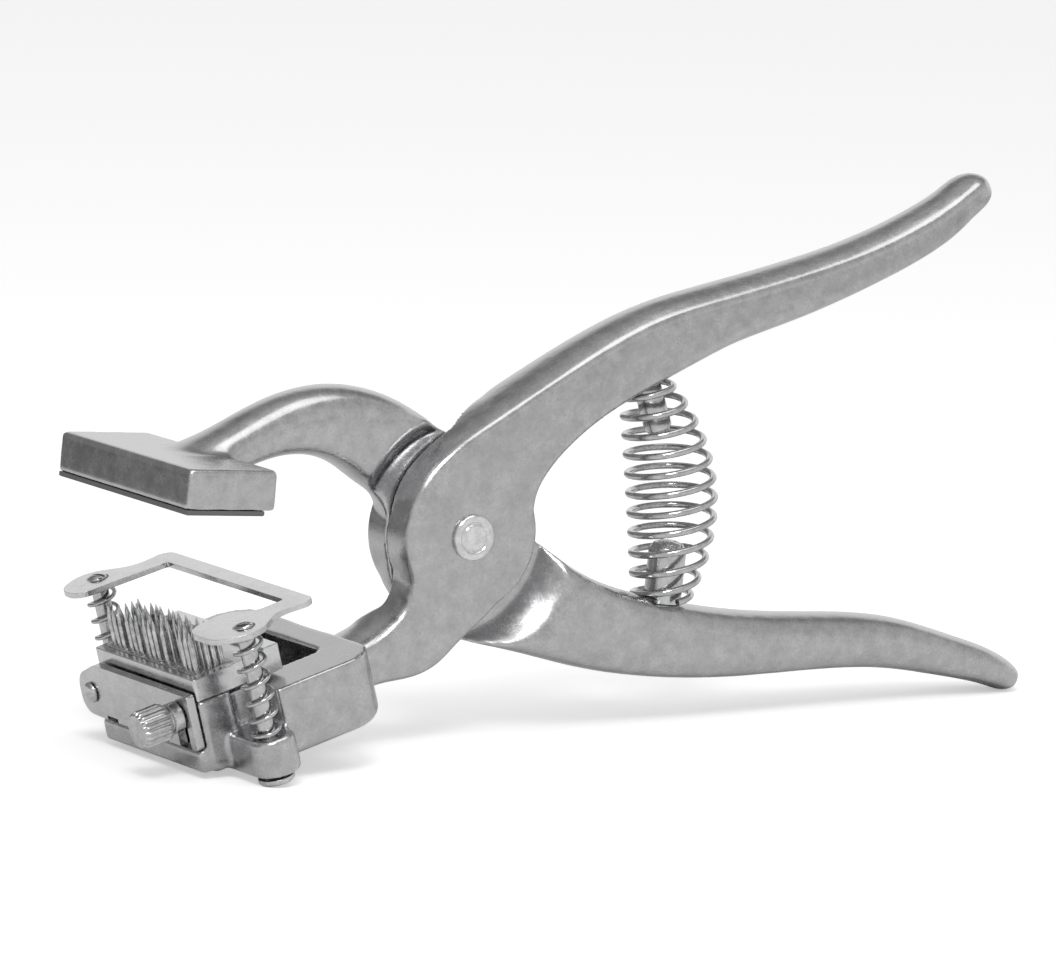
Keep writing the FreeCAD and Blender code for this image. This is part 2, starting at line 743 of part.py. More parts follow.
def make_thumb_screw():
    """Knurled screw that clamps the latch plate, with a collar, neck and threaded end."""
    origin = V(plate_front - body_clearance, thumb_y, thumb_z)
    head_start = -thumb_collar_length - thumb_groove_length
    core = turned([
        (head_start, 0.0),
        (head_start, thumb_groove_radius),
        (-thumb_collar_length, thumb_groove_radius),
        (-thumb_collar_length, thumb_collar_radius),
        (0.0, thumb_collar_radius),
        (0.0, thumb_neck_radius),
        (jaw_front + thumb_thread_length - origin.x, thumb_neck_radius),
        (jaw_front + thumb_thread_length - origin.x, 0.0),
    ], origin, V(1, 0, 0))
    rim = []
    for i in range(2 * knurl_teeth):
        angle = math.pi * i / knurl_teeth
        radius = thumb_head_radius - (knurl_depth if i % 2 else 0.0)
        rim.append(origin + V(head_start, radius * math.cos(angle), radius * math.sin(angle)))
    star = Part.Face(Part.makePolygon(rim + [rim[0]])).extrude(V(-thumb_head_length, 0, 0))
    chamfer = knurl_chamfer
    envelope = turned([
        (head_start, 0.0),
        (head_start, thumb_head_radius - chamfer),
        (head_start - chamfer, thumb_head_radius + fixed_clearance),
        (head_start - thumb_head_length + chamfer, thumb_head_radius + fixed_clearance),
        (head_start - thumb_head_length, thumb_head_radius - chamfer),
        (head_start - thumb_head_length, 0.0),
    ], origin, V(1, 0, 0))
    return core.fuse(star.common(envelope))


def frame_screw_countersink(side):
    """Space that a frame screw's head and shank take in the release frame."""
    top = frame_base + frame_thickness
    return turned([
        (-frame_thickness - over, 0.0),
        (-frame_thickness - over, frame_screw_shank + fixed_clearance),
        (-frame_screw_head_height - 2 * fixed_clearance, frame_screw_shank + fixed_clearance),
        (-frame_screw_rim - 2 * fixed_clearance, frame_screw_head + 2 * fixed_clearance),
        (over, frame_screw_head + 2 * fixed_clearance),
        (over, 0.0),
    ], V(post_x, side * post_y, top), V(0, 0, 1))


def make_release_frame():
    """Open-fronted frame with a leaf-shaped ear over each post that pushes the ear off the needles."""
    far = [(post_x + behind, post_y + outside, radius) for behind, outside, radius in far_ear]
    near = [(post_x + behind, -post_y - outside, radius) for behind, outside, radius in near_ear]
    outline = [(frame_back, frame_half_width, frame_corner)] + far
    outline += [(frame_window_back, frame_window_half_width, window_corner),
                (frame_window_back, -frame_window_half_width, window_corner)]
    outline += near[::-1] + [(frame_back, -frame_half_width, frame_corner)]
    frame = rounded_face(outline, on_plan(frame_base)).extrude(V(0, 0, frame_thickness))
    return frame.cut([frame_screw_countersink(-1), frame_screw_countersink(1)])


def make_frame_screw(side):
    """Slotted countersunk screw that holds the frame to a post."""
    top = frame_base + frame_thickness
    screw = turned([
        (-frame_thickness - frame_screw_length, 0.0),
        (-frame_thickness - frame_screw_length, frame_screw_shank),
        (-frame_screw_head_height, frame_screw_shank),
        (-frame_screw_rim, frame_screw_head),
        (0.0, frame_screw_head),
        (0.0, 0.0),
    ], V(post_x, side * post_y, top), V(0, 0, 1))
    slot = box_between((post_x - 0.5 * screw_slot, side * post_y - frame_screw_head - over,
                        top - 0.5 * frame_screw_head_height),
                       (post_x + 0.5 * screw_slot, side * post_y + frame_screw_head + over, top + over))
    return screw.cut(slot)


nut_top = lug_bottom - body_clearance
post_end = nut_top - nut_height + post_recess


def make_guide_post(side):
    """Post that slides in the lug and carries the release frame."""
    post = Part.makeCylinder(post_radius, frame_base - post_end, V(post_x, side * post_y, post_end))
    tapped = Part.makeCylinder(frame_screw_shank + fixed_clearance, frame_screw_length + hole_spare,
                               V(post_x, side * post_y, frame_base - frame_screw_length - hole_spare))
    return post.cut(tapped)


def make_post_nut(side):
    """Round nut under the lug that stops the post at the top of its travel."""
    nut = turned([
        (-nut_height, post_radius + fixed_clearance),
        (-nut_height, nut_radius - nut_edge),
        (-nut_height + nut_edge, nut_radius),
        (0.0, nut_radius),
        (0.0, post_radius + fixed_clearance),
    ], V(post_x, side * post_y, nut_top), V(0, 0, 1))
    return nut


def make_post_spring(side):
    """Spring round a post that lifts the release frame."""
    return coil(V(post_x, side * post_y, lug_top + 0.2), V(post_x, side * post_y, frame_base - 0.2),
                V(0, 0, 0), post_spring_turns, lambda share: post_spring_radius, post_spring_wire)


def standing_tilt(front_points, rear_points):
    """Angle that brings the post nuts and the lower handle's end to one level."""
    low, high = 0.0, 30.0
    while high - low > 1e-4:
        middle = 0.5 * (low + high)
        sine = math.sin(math.radians(middle))
        cosine = math.cos(math.radians(middle))
        front = min(point.x * sine + point.z * cosine for point in front_points)
        rear = min(point.x * sine + point.z * cosine for point in rear_points)
        if front > rear:
            low = middle
        else:
            high = middle
    return 0.5 * (low + high)


def make_nodes():
    """All pieces, by the names of their nodes."""
    nodes = {
        "front_lever": make_front_lever(),
        "rear_lever": make_rear_lever(),
        "anvil_pad": make_anvil_pad(),
        "pivot_rivet": make_rivet(),
        "handle_spring": make_handle_spring(),
        "upper_spring_stud": spring_stud(upper_seat, upper_stud_axis, upper_stud_radius,
                                         upper_stud_length),
        "lower_spring_stud": spring_stud(lower_seat, lower_stud_axis, lower_stud_radius,
                                         lower_stud_length),
        "type_cassette": make_cassette(),
        "latch_plate": make_latch_plate(),
        "latch_screw": make_latch_screw(),
        "thumb_screw": make_thumb_screw(),
        "release_frame": make_release_frame(),
    }
    for number in range(1, type_count + 1):
        nodes["type_%d" % number] = make_type(number)
    for name, side in (("near", -1), ("far", 1)):
        nodes["guide_post_" + name] = make_guide_post(side)
        nodes["frame_screw_" + name] = make_frame_screw(side)
        nodes["post_nut_" + name] = make_post_nut(side)
        nodes["post_spring_" + name] = make_post_spring(side)
    return nodes


def stand_up(nodes):
    """Tip all pieces to the standing pose and move the origin to the middle of the base."""
    deflection = 0.05
    front_points = nodes["post_nut_near"].tessellate(deflection)[0]
    rear_points = nodes["rear_lever"].tessellate(deflection)[0]
    tilt = standing_tilt(front_points, rear_points)
    points = []
    for name, shape in nodes.items():
        shape.rotate(V(0, 0, 0), V(0, 1, 0), -tilt)
        if name in ("front_lever", "rear_lever", "post_nut_near", "thumb_screw"):
            points += shape.tessellate(deflection)[0]
    low_x, high_x = min(p.x for p in points), max(p.x for p in points)
    low_z = min(p.z for p in points)
    shift = V(-0.5 * (low_x + high_x), 0, -low_z)
    for shape in nodes.values():
        shape.translate(shift)
    print("tilt %.5f pivot %.5f 0 %.5f" % (tilt, shift.x, shift.z))


def main():
    """Build, place and export every piece."""
    nodes = make_nodes()
    stand_up(nodes)
    os.makedirs("parts", exist_ok=True)
    for name, shape in nodes.items():
        shape.exportStep("parts/%s.step" % name)


main()
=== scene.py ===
"""Looks of a pair of ear tattoo pliers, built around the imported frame.

Sizes in the classes are in millimetres in the jaw frame: pivot at the origin, lower jaw level, +X to the
handles, +Y to the far side and +Z up. JawFrame turns them into metres where the pliers stand.
"""
import json
import logging
import math
from dataclasses import dataclass, field
from enum import Enum
from typing import Callable

import bmesh
import bpy
from mathutils import Matrix, Vector, noise


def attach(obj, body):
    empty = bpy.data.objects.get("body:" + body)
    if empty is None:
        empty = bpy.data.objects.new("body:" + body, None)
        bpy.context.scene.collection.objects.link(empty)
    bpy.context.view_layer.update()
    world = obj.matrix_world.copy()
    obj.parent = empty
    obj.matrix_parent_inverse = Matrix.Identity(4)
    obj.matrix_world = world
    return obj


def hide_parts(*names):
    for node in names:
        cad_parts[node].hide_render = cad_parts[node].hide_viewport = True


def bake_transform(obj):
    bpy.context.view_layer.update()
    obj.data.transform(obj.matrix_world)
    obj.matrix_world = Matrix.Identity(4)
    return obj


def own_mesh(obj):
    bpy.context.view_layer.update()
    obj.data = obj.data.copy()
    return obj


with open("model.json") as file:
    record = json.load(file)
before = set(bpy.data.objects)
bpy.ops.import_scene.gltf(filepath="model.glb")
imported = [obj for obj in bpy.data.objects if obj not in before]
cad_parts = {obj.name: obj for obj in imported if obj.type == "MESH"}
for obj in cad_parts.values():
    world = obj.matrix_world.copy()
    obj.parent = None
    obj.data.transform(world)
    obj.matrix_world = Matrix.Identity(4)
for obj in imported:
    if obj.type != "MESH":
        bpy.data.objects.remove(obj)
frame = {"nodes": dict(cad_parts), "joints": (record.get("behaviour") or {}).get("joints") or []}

log = logging.getLogger("tattoo_pliers")

MM = 0.001
MERGE_DISTANCE = 2e-6


def srgb(code: str) -> tuple[float, float, float, float]:
    """Linear colour of an sRGB hex code such as "#9A9A98"."""
    channels = [int(code[i:i + 2], 16) / 255.0 for i in (1, 3, 5)]
    linear = [c / 12.92 if c <= 0.04045 else ((c + 0.055) / 1.055) ** 2.4 for c in channels]
    return (linear[0], linear[1], linear[2], 1.0)


def per_metre(size_mm: float) -> float:
    """Texture scale at which a pattern repeats about every size_mm."""
    return 1.0 / (size_mm * MM)


def add_node(tree: bpy.types.NodeTree, kind: str, inputs: dict | None = None, **settings) -> bpy.types.Node:
    """Add a node with its settings, and set or link its inputs.

    Args:
        tree: Shader or geometry tree that gets the node.
        kind: The node's type name.
        inputs: Values, sockets or nodes by input name or number; a node links its first output.
        settings: Properties of the node itself.

    Returns:
        The new node.
    """
    node = tree.nodes.new(kind)
    for name, value in settings.items():
        setattr(node, name, value)
    for key, value in (inputs or {}).items():
        if isinstance(value, bpy.types.Node):
            value = value.outputs[0]
        if isinstance(value, bpy.types.NodeSocket):
            tree.links.new(value, node.inputs[key])
        else:
            node.inputs[key].default_value = value
    return node


@dataclass(frozen=True)
class JawFrame:
    """Where the pliers stand: the pivot, the lower jaw's up direction and the opening of the jaws."""

    pivot: Vector
    up: Vector
    opening: float

    @classmethod
    def from_joints(cls, joints: list) -> "JawFrame":
        """Read the pivot, the slide's direction and the opening angle from the joints of the frame."""
        by_name = {joint["name"]: joint for joint in joints}
        lever, slide = by_name["lever_pivot"], by_name["release_slide"]
        return cls(Vector(lever["pos_m"]), -Vector(slide["axis"]).normalized(),
                   math.radians(lever["range_deg"][1]))

    def direction(self, x: float, y: float, z: float) -> Vector:
        """Direction in the row frame of one given in the jaw frame."""
        ahead = Vector((self.up.z, 0.0, -self.up.x))
        return ahead * x + Vector((0.0, y, 0.0)) + self.up * z

    def point(self, x: float, y: float, z: float) -> Vector:
        """Point in metres in the row frame of one in millimetres in the jaw frame."""
        return self.pivot + self.direction(x, y, z) * MM

    def rear_point(self, x: float, y: float, z: float) -> Vector:
        """Point of the rear lever, given with the anvil level, where it stands with the jaws open."""
        sine, cosine = math.sin(self.opening), math.cos(self.opening)
        return self.point(x * cosine + z * sine, y, -x * sine + z * cosine)

    def matrix(self, x: float, y: float, z: float) -> Matrix:
        """Matrix from a mesh in metres along the jaw frame's axes to its place in the row frame."""
        columns = (self.direction(1, 0, 0), self.direction(0, 1, 0), self.direction(0, 0, 1))
        turn = Matrix(columns).transposed().to_4x4()
        return Matrix.Translation(self.point(x, y, z)) @ turn


class Slot(Enum):
    """Material slots of the record."""

    CASTING = "nickel_plated_casting"
    STEEL = "bright_steel"
    SPRING = "spring_steel"
    RUBBER = "pad_rubber"
    TYPE = "type_metal"


@dataclass(frozen=True)
class MetalFinish:
    """A metal surface: two tones in clouds, roughness that follows them, a grain, edges lightened partly for wear
    and partly as a painted highlight, and creases darkened as painted shade.

    A metal's colour is its reflection, so the tones are those of the plated metal under white light.
    """

    name: str
    dark: str
    light: str
    cloud_mm: float
    grain_mm: float
    grain_depth_mm: float
    roughness: tuple[float, float]
    grain_stretch: tuple[float, float, float] = (1.0, 1.0, 1.0)
    # Edges lightened partly for wear and partly as a painted highlight: their tone and share
    edge_wear_and_highlight_tone: str = "#F2F2F2"
    edge_wear_and_highlight_share: float = 0.35
    # Creases darkened as painted shade: their tone and share
    crevice_shade_tone: str = "#48484A"
    crevice_shade_share: float = 0.3
    fleck: float = 0.35

    def material(self) -> bpy.types.Material:
        """Build the material."""
        material = bpy.data.materials.new(self.name)
        material.use_nodes = True
        tree = material.node_tree
        shader = tree.nodes["Principled BSDF"]
        shader.inputs["Metallic"].default_value = 1.0
        place = add_node(tree, "ShaderNodeTexCoord").outputs["Object"]
        stretched = add_node(tree, "ShaderNodeMapping", {"Vector": place, "Scale": self.grain_stretch})
        cloud = add_node(tree, "ShaderNodeTexNoise", {
            "Vector": place, "Scale": per_metre(self.cloud_mm), "Detail": 4.0, "Roughness": 0.6})
        grain = add_node(tree, "ShaderNodeTexNoise", {
            "Vector": stretched, "Scale": per_metre(self.grain_mm), "Detail": 2.0, "Roughness": 0.55})
        blotch = add_node(tree, "ShaderNodeMix", {"Factor": self.fleck, 2: cloud, 3: grain})
        share = add_node(tree, "ShaderNodeMapRange", {
            "Value": blotch, "From Min": 0.36, "From Max": 0.64})
        tone = add_node(tree, "ShaderNodeMix", {
            "Factor": share, 6: srgb(self.dark), 7: srgb(self.light)}, data_type="RGBA")
        edge = add_node(tree, "ShaderNodeNewGeometry").outputs["Pointiness"]
        # Sharp edges, found by pointiness, get a lighter tone: partly wear, partly a painted highlight
        wear_and_highlight = add_node(tree, "ShaderNodeMapRange", {
            "Value": edge, "From Min": 0.52, "From Max": 0.60, "To Max": self.edge_wear_and_highlight_share})
        # Hollow creases, found by pointiness, are darkened: painted shade
        sunk = add_node(tree, "ShaderNodeMapRange", {
            "Value": edge, "From Min": 0.47, "From Max": 0.38, "To Max": self.crevice_shade_share})
        # Mix in the edges' lighter tone, partly wear and partly a painted highlight
        bright = add_node(tree, "ShaderNodeMix", {
            "Factor": wear_and_highlight, 6: tone.outputs[2], 7: srgb(self.edge_wear_and_highlight_tone)}, data_type="RGBA")
        # Mix in the creases' darker tone, a painted shade
        final = add_node(tree, "ShaderNodeMix", {
            "Factor": sunk, 6: bright.outputs[2], 7: srgb(self.crevice_shade_tone)}, data_type="RGBA")
        tree.links.new(final.outputs[2], shader.inputs["Base Color"])
        gloss = add_node(tree, "ShaderNodeMapRange", {
            "Value": blotch, "From Min": 0.34, "From Max": 0.66,
            "To Min": self.roughness[0], "To Max": self.roughness[1]})
        tree.links.new(gloss.outputs[0], shader.inputs["Roughness"])
        bump = add_node(tree, "ShaderNodeBump", {
            "Height": grain, "Strength": 1.0, "Distance": self.grain_depth_mm * MM})
        tree.links.new(bump.outputs[0], shader.inputs["Normal"])
        return material


@dataclass(frozen=True)
class RubberFinish:
    """Moulded rubber: dark grey, dull, with a fine moulded grain and a dusty bloom."""

    name: str = "moulded_nitrile_rubber"
    dark: str = "#5A5A5C"
    light: str = "#6E6E70"
    grain_mm: float = 0.5
    grain_depth_mm: float = 0.03
    roughness: float = 0.62

    def material(self) -> bpy.types.Material:
        """Build the material."""
        material = bpy.data.materials.new(self.name)
        material.use_nodes = True
        tree = material.node_tree
        shader = tree.nodes["Principled BSDF"]
        shader.inputs["IOR"].default_value = 1.52
        shader.inputs["Roughness"].default_value = self.roughness
        place = add_node(tree, "ShaderNodeTexCoord").outputs["Object"]
        grain = add_node(tree, "ShaderNodeTexNoise", {
            "Vector": place, "Scale": per_metre(self.grain_mm), "Detail": 3.0})
        tone = add_node(tree, "ShaderNodeMix", {
            "Factor": grain, 6: srgb(self.dark), 7: srgb(self.light)}, data_type="RGBA")
        tree.links.new(tone.outputs[2], shader.inputs["Base Color"])
        bump = add_node(tree, "ShaderNodeBump", {
            "Height": grain, "Distance": self.grain_depth_mm * MM})
        tree.links.new(bump.outputs[0], shader.inputs["Normal"])
        return material


# Shot-blasted casting under satin nickel plate: soft mottled reflections, and edges lightened partly for wear and
# partly as a painted highlight
CAST_NICKEL = MetalFinish("satin_nickel_on_casting", "#B3B3B4", "#CBCBCC", 3.6, 0.7, 0.014, (0.20, 0.30))
# Plated sheet: smoother and brighter than the casting
PLATED_SHEET = MetalFinish("nickel_plated_sheet_steel", "#C4C4C5", "#E6E6E7", 5.0, 0.6, 0.008, (0.14, 0.26))
# Rolled plate brushed along the jaw's width
BRUSHED_PLATE = MetalFinish("brushed_steel_plate", "#ABABAC", "#CBCBCC", 4.0, 0.5, 0.008, (0.18, 0.32),
                            grain_stretch=(1.0, 0.12, 1.0))
# Steel turned in a lathe: fine rings, too fine to see singly, show as a light satin
TURNED_STEEL = MetalFinish("turned_bright_steel", "#B4B4B5", "#DADADB", 2.5, 0.4, 0.006, (0.12, 0.24))
# Polished rivet head, the brightest metal on the pliers
POLISHED_RIVET = MetalFinish("polished_rivet_steel", "#D4D4D5", "#F4F4F5", 1.8, 0.6, 0.006, (0.12, 0.24))
# Hard-drawn spring wire, nickel plated: smooth, with a mirror-like line along each turn
SPRING_WIRE = MetalFinish("drawn_spring_wire", "#A4A4A5", "#CFCFD0", 2.0, 0.35, 0.004, (0.10, 0.20))
# Polished and plated needles, and the block that they are set in
NEEDLE_STEEL = MetalFinish("polished_needle_steel", "#8E8E8F", "#E2E2E3", 1.6, 0.9, 0.003, (0.06, 0.16))
TYPE_BLOCK = MetalFinish("plated_type_block", "#8C8C8D", "#B4B4B5", 2.0, 0.5, 0.008, (0.20, 0.34))
PAD_RUBBER = RubberFinish()


class Workshop:
    """Makes each finish's material once, and hands finished pieces to the frame."""

    def __init__(self, jaw: JawFrame) -> None:
        """Keep the jaw frame that pieces are placed in."""
        self.jaw = jaw
        self.made: dict[str, bpy.types.Material] = {}

    def material(self, finish: MetalFinish | RubberFinish) -> bpy.types.Material:
        """The finish's material, built at its first use."""
        if finish.name not in self.made:
            self.made[finish.name] = finish.material()
        return self.made[finish.name]

    def hand_over(self, piece: bpy.types.Object, body: str, slot: Slot, *nodes: str) -> bpy.types.Object:
        """Give a finished piece to its body and hide the CAD nodes it stands for."""
        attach(piece, body)
        if nodes:
            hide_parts(*nodes)
        log.info("%s: %d faces on %s", piece.name, len(piece.data.polygons), body)
        return piece


def new_object(name: str, mesh: bpy.types.Mesh) -> bpy.types.Object:
    """Put a mesh in the scene as an object at the origin."""
    piece = bpy.data.objects.new(name, mesh)
    bpy.context.scene.collection.objects.link(piece)
    return piece


def settle(piece: bpy.types.Object) -> bpy.types.Object:
    """Turn a piece's modifiers into its plain mesh."""
    graph = bpy.context.evaluated_depsgraph_get()
    mesh = bpy.data.meshes.new_from_object(piece.evaluated_get(graph))
    piece.modifiers.clear()
    piece.data = mesh
    return piece


def shade(piece: bpy.types.Object, sharp_degrees: float = 40.0) -> None:
    """Shade a piece smoothly, apart from edges sharper than an angle."""
    mesh = piece.data
    mesh.polygons.foreach_set("use_smooth", [True] * len(mesh.polygons))
    mesh.set_sharp_from_angle(angle=math.radians(sharp_degrees))
    mesh.update()


def level_normals(piece: bpy.types.Object) -> None:
    """Keep flat faces flat in the shading beside their rounded edges."""
    weighted = piece.modifiers.new("normals", "WEIGHTED_NORMAL")
    weighted.keep_sharp = True
    settle(piece)


def copy_of_node(node: str, name: str, flat_degrees: float = 0.0) -> bpy.types.Object:
    """Copy a CAD node's mesh with its vertices merged.

    Args:
        node: The CAD node.
        name: Name of the new piece.
        flat_degrees: Facets within this angle of each other are joined into one face.

    Returns:
        The new object; the CAD node is left as it is.
    """
    source = frame["nodes"][node].data
    mesh = bpy.data.meshes.new(name)
    mesh.from_pydata([v.co for v in source.vertices], [], [p.vertices[:] for p in source.polygons])
    shape = bmesh.new()
    shape.from_mesh(mesh)
    bmesh.ops.remove_doubles(shape, verts=shape.verts, dist=MERGE_DISTANCE)
    if flat_degrees:
        bmesh.ops.dissolve_limit(shape, angle_limit=math.radians(flat_degrees), verts=shape.verts,
                                 edges=shape.edges)
    shape.to_mesh(mesh)
    shape.free()
    return new_object(name, mesh)


@dataclass(frozen=True)
class Blend:
    """A place where two forms of a casting flow together, as the pattern maker's fillet leaves them."""

    centres: tuple[Vector, ...]
    radius: float
    steps: int = 40

    def weight(self, place: Vector) -> float:
        """How much a vertex here is smoothed, from nothing at the blend's radius to all at a centre."""
        share = min((place - centre).length for centre in self.centres) / (self.radius * MM)
        return max(0.0, 1.0 - share ** 2)


@dataclass(frozen=True)
class PocketFlare:
    """Sweep of a lever's thickness from its lap pocket out to its full width, as the pattern leaves it."""

    pivot: Vector
    side: int
    pocket_radius: float = 24.6
    machined_radius: float = 32.0
    swept_radius: float = 36.0
    half_gap: float = 0.15
    half_width: float = 9.0
    rounding: float = 2.0

    def carve(self, mesh: bpy.types.Mesh) -> None:
        """Thin the pocket's side of the lever to the swept form; nothing is added."""
        for vertex in mesh.vertices:
            away = (vertex.co - self.pivot) / MM
            if away.y * self.side <= self.half_gap:
                continue
            radius = math.hypot(away.x, away.z)
            share = (radius - self.pocket_radius) / (self.swept_radius - self.pocket_radius)
            if not 0.0 < share < 1.0:
                continue
            cut = (radius - self.pocket_radius) / (self.machined_radius - self.pocket_radius)
            machined = self.half_gap + (self.half_width - self.half_gap) * min(cut, 1.0)
            swept = self.half_gap + (self.half_width - self.half_gap) * (1.0 - (1.0 - share) ** self.rounding)
            vertex.co.y *= min(swept / machined, 1.0)
        mesh.update()


@dataclass
class CastLever:
    """One cast lever: the CAD form with rounded edges, soft fillets and the casting's slight waves."""

    node: str
    body: str
    flare: PocketFlare
    blends: list[Blend]
    voxel: float = 0.52
    edge_steps: int = 4
    wave_length: float = 8.0
    wave_depth: float = 0.05
    ripple_length: float = 2.4
    ripple_depth: float = 0.016

    def build(self, shop: Workshop) -> bpy.types.Object:
        """Make the casting and give it to its body."""
        piece = copy_of_node(self.node, self.node + "_casting")
        remesh = piece.modifiers.new("skin", "REMESH")
        remesh.mode = "VOXEL"
        remesh.voxel_size = self.voxel * MM
        settle(piece)
        self.flare.carve(piece.data)
        self.soften(piece)
        self.waves(piece.data)
        piece.data.materials.clear()
        piece.data.materials.append(shop.material(CAST_NICKEL))
        shade(piece, 180.0)
        return shop.hand_over(piece, self.body, Slot.CASTING, self.node)

    def soften(self, piece: bpy.types.Object) -> None:
        """Round every edge a little, and each blend a lot."""
        edges = piece.modifiers.new("edges", "SMOOTH")
        edges.factor = 0.5
        edges.iterations = self.edge_steps
        for number, blend in enumerate(self.blends):
            group = piece.vertex_groups.new(name="blend_%d" % number)
            for vertex in piece.data.vertices:
                weight = blend.weight(vertex.co)
                if weight > 0.0:
                    group.add([vertex.index], weight, "REPLACE")
            fillet = piece.modifiers.new(group.name, "SMOOTH")
            fillet.factor = 0.5
            fillet.iterations = blend.steps
            fillet.vertex_group = group.name
        settle(piece)

    def waves(self, mesh: bpy.types.Mesh) -> None:
        """Push the skin in by the casting's waves, never out of the CAD form."""
        normals = [Vector(vertex.normal) for vertex in mesh.vertices]
        for vertex, normal in zip(mesh.vertices, normals):
            wave = noise.noise(vertex.co * per_metre(self.wave_length)) - 1.0
            ripple = noise.noise(vertex.co * per_metre(self.ripple_length)) - 1.0
            depth = 0.5 * (wave * self.wave_depth + ripple * self.ripple_depth)
            vertex.co += normal * (depth * MM)


@dataclass
class TrimmedNode:
    """A CAD node with its edges broken, as filing, tumbling or stamping leaves them."""

    node: str
    body: str
    slot: Slot
    finish: MetalFinish | RubberFinish
    edge: float = 0.18
    segments: int = 3
    flat_degrees: float = 0.8

    def build(self, shop: Workshop) -> bpy.types.Object:
        """Break the edges and give the piece to its body."""
        piece = copy_of_node(self.node, self.node + "_finished", self.flat_degrees)
        bevel = piece.modifiers.new("edges", "BEVEL")
        bevel.width = self.edge * MM
        bevel.segments = self.segments
        bevel.limit_method = "ANGLE"
        bevel.angle_limit = math.radians(35.0)
        bevel.use_clamp_overlap = True
        settle(piece)
        piece.data.materials.clear()
        piece.data.materials.append(shop.material(self.finish))
        shade(piece)
        level_normals(piece)
        return shop.hand_over(piece, self.body, self.slot, self.node)


class Tree:
    """A geometry tree with named inputs, which ends in Realize Instances and Set Material."""

    def __init__(self, name: str, sizes: dict[str, str]) -> None:
        """Make the tree with a geometry input, the sizes and a material input.

        Args:
            name: The tree's name.
            sizes: Input names and their socket types.
        """
        self.tree = bpy.data.node_groups.new(name, "GeometryNodeTree")
        face = self.tree.interface
        face.new_socket(name="Geometry", in_out="INPUT", socket_type="NodeSocketGeometry")
        for label, kind in {**sizes, "Material": "NodeSocketMaterial"}.items():
            face.new_socket(name=label, in_out="INPUT", socket_type=kind)
        face.new_socket(name="Geometry", in_out="OUTPUT", socket_type="NodeSocketGeometry")
        self.inputs = self.tree.nodes.new("NodeGroupInput").outputs

    def add(self, kind: str, inputs: dict | None = None, **settings) -> bpy.types.Node:
        """Add a node to this tree."""
        return add_node(self.tree, kind, inputs, **settings)

    def close(self, geometry: bpy.types.Node) -> None:
        """Realize the instances, set the material and link the output."""
        real = self.add("GeometryNodeRealizeInstances", {0: geometry})
        painted = self.add("GeometryNodeSetMaterial", {
            "Geometry": real, "Material": self.inputs["Material"]})
        self.add("NodeGroupOutput", {0: painted})

    def run(self, name: str, values: dict, mesh: bpy.types.Mesh | None = None) -> bpy.types.Object:
        """Run the tree on a mesh and keep the result as a plain mesh.

        Args:
            name: Name of the new piece.
            values: Values of the tree's inputs, by their names.
            mesh: What the tree starts from, if it needs anything.

        Returns:
            The new object.
        """
        piece = new_object(name, mesh or bpy.data.meshes.new(name))
        modifier = piece.modifiers.new(self.tree.name, "NODES")
        modifier.node_group = self.tree
        for socket in self.tree.interface.items_tree:
            if socket.in_out == "INPUT" and socket.name in values:
                modifier[socket.identifier] = values[socket.name]
        piece.update_tag()
        return settle(piece)


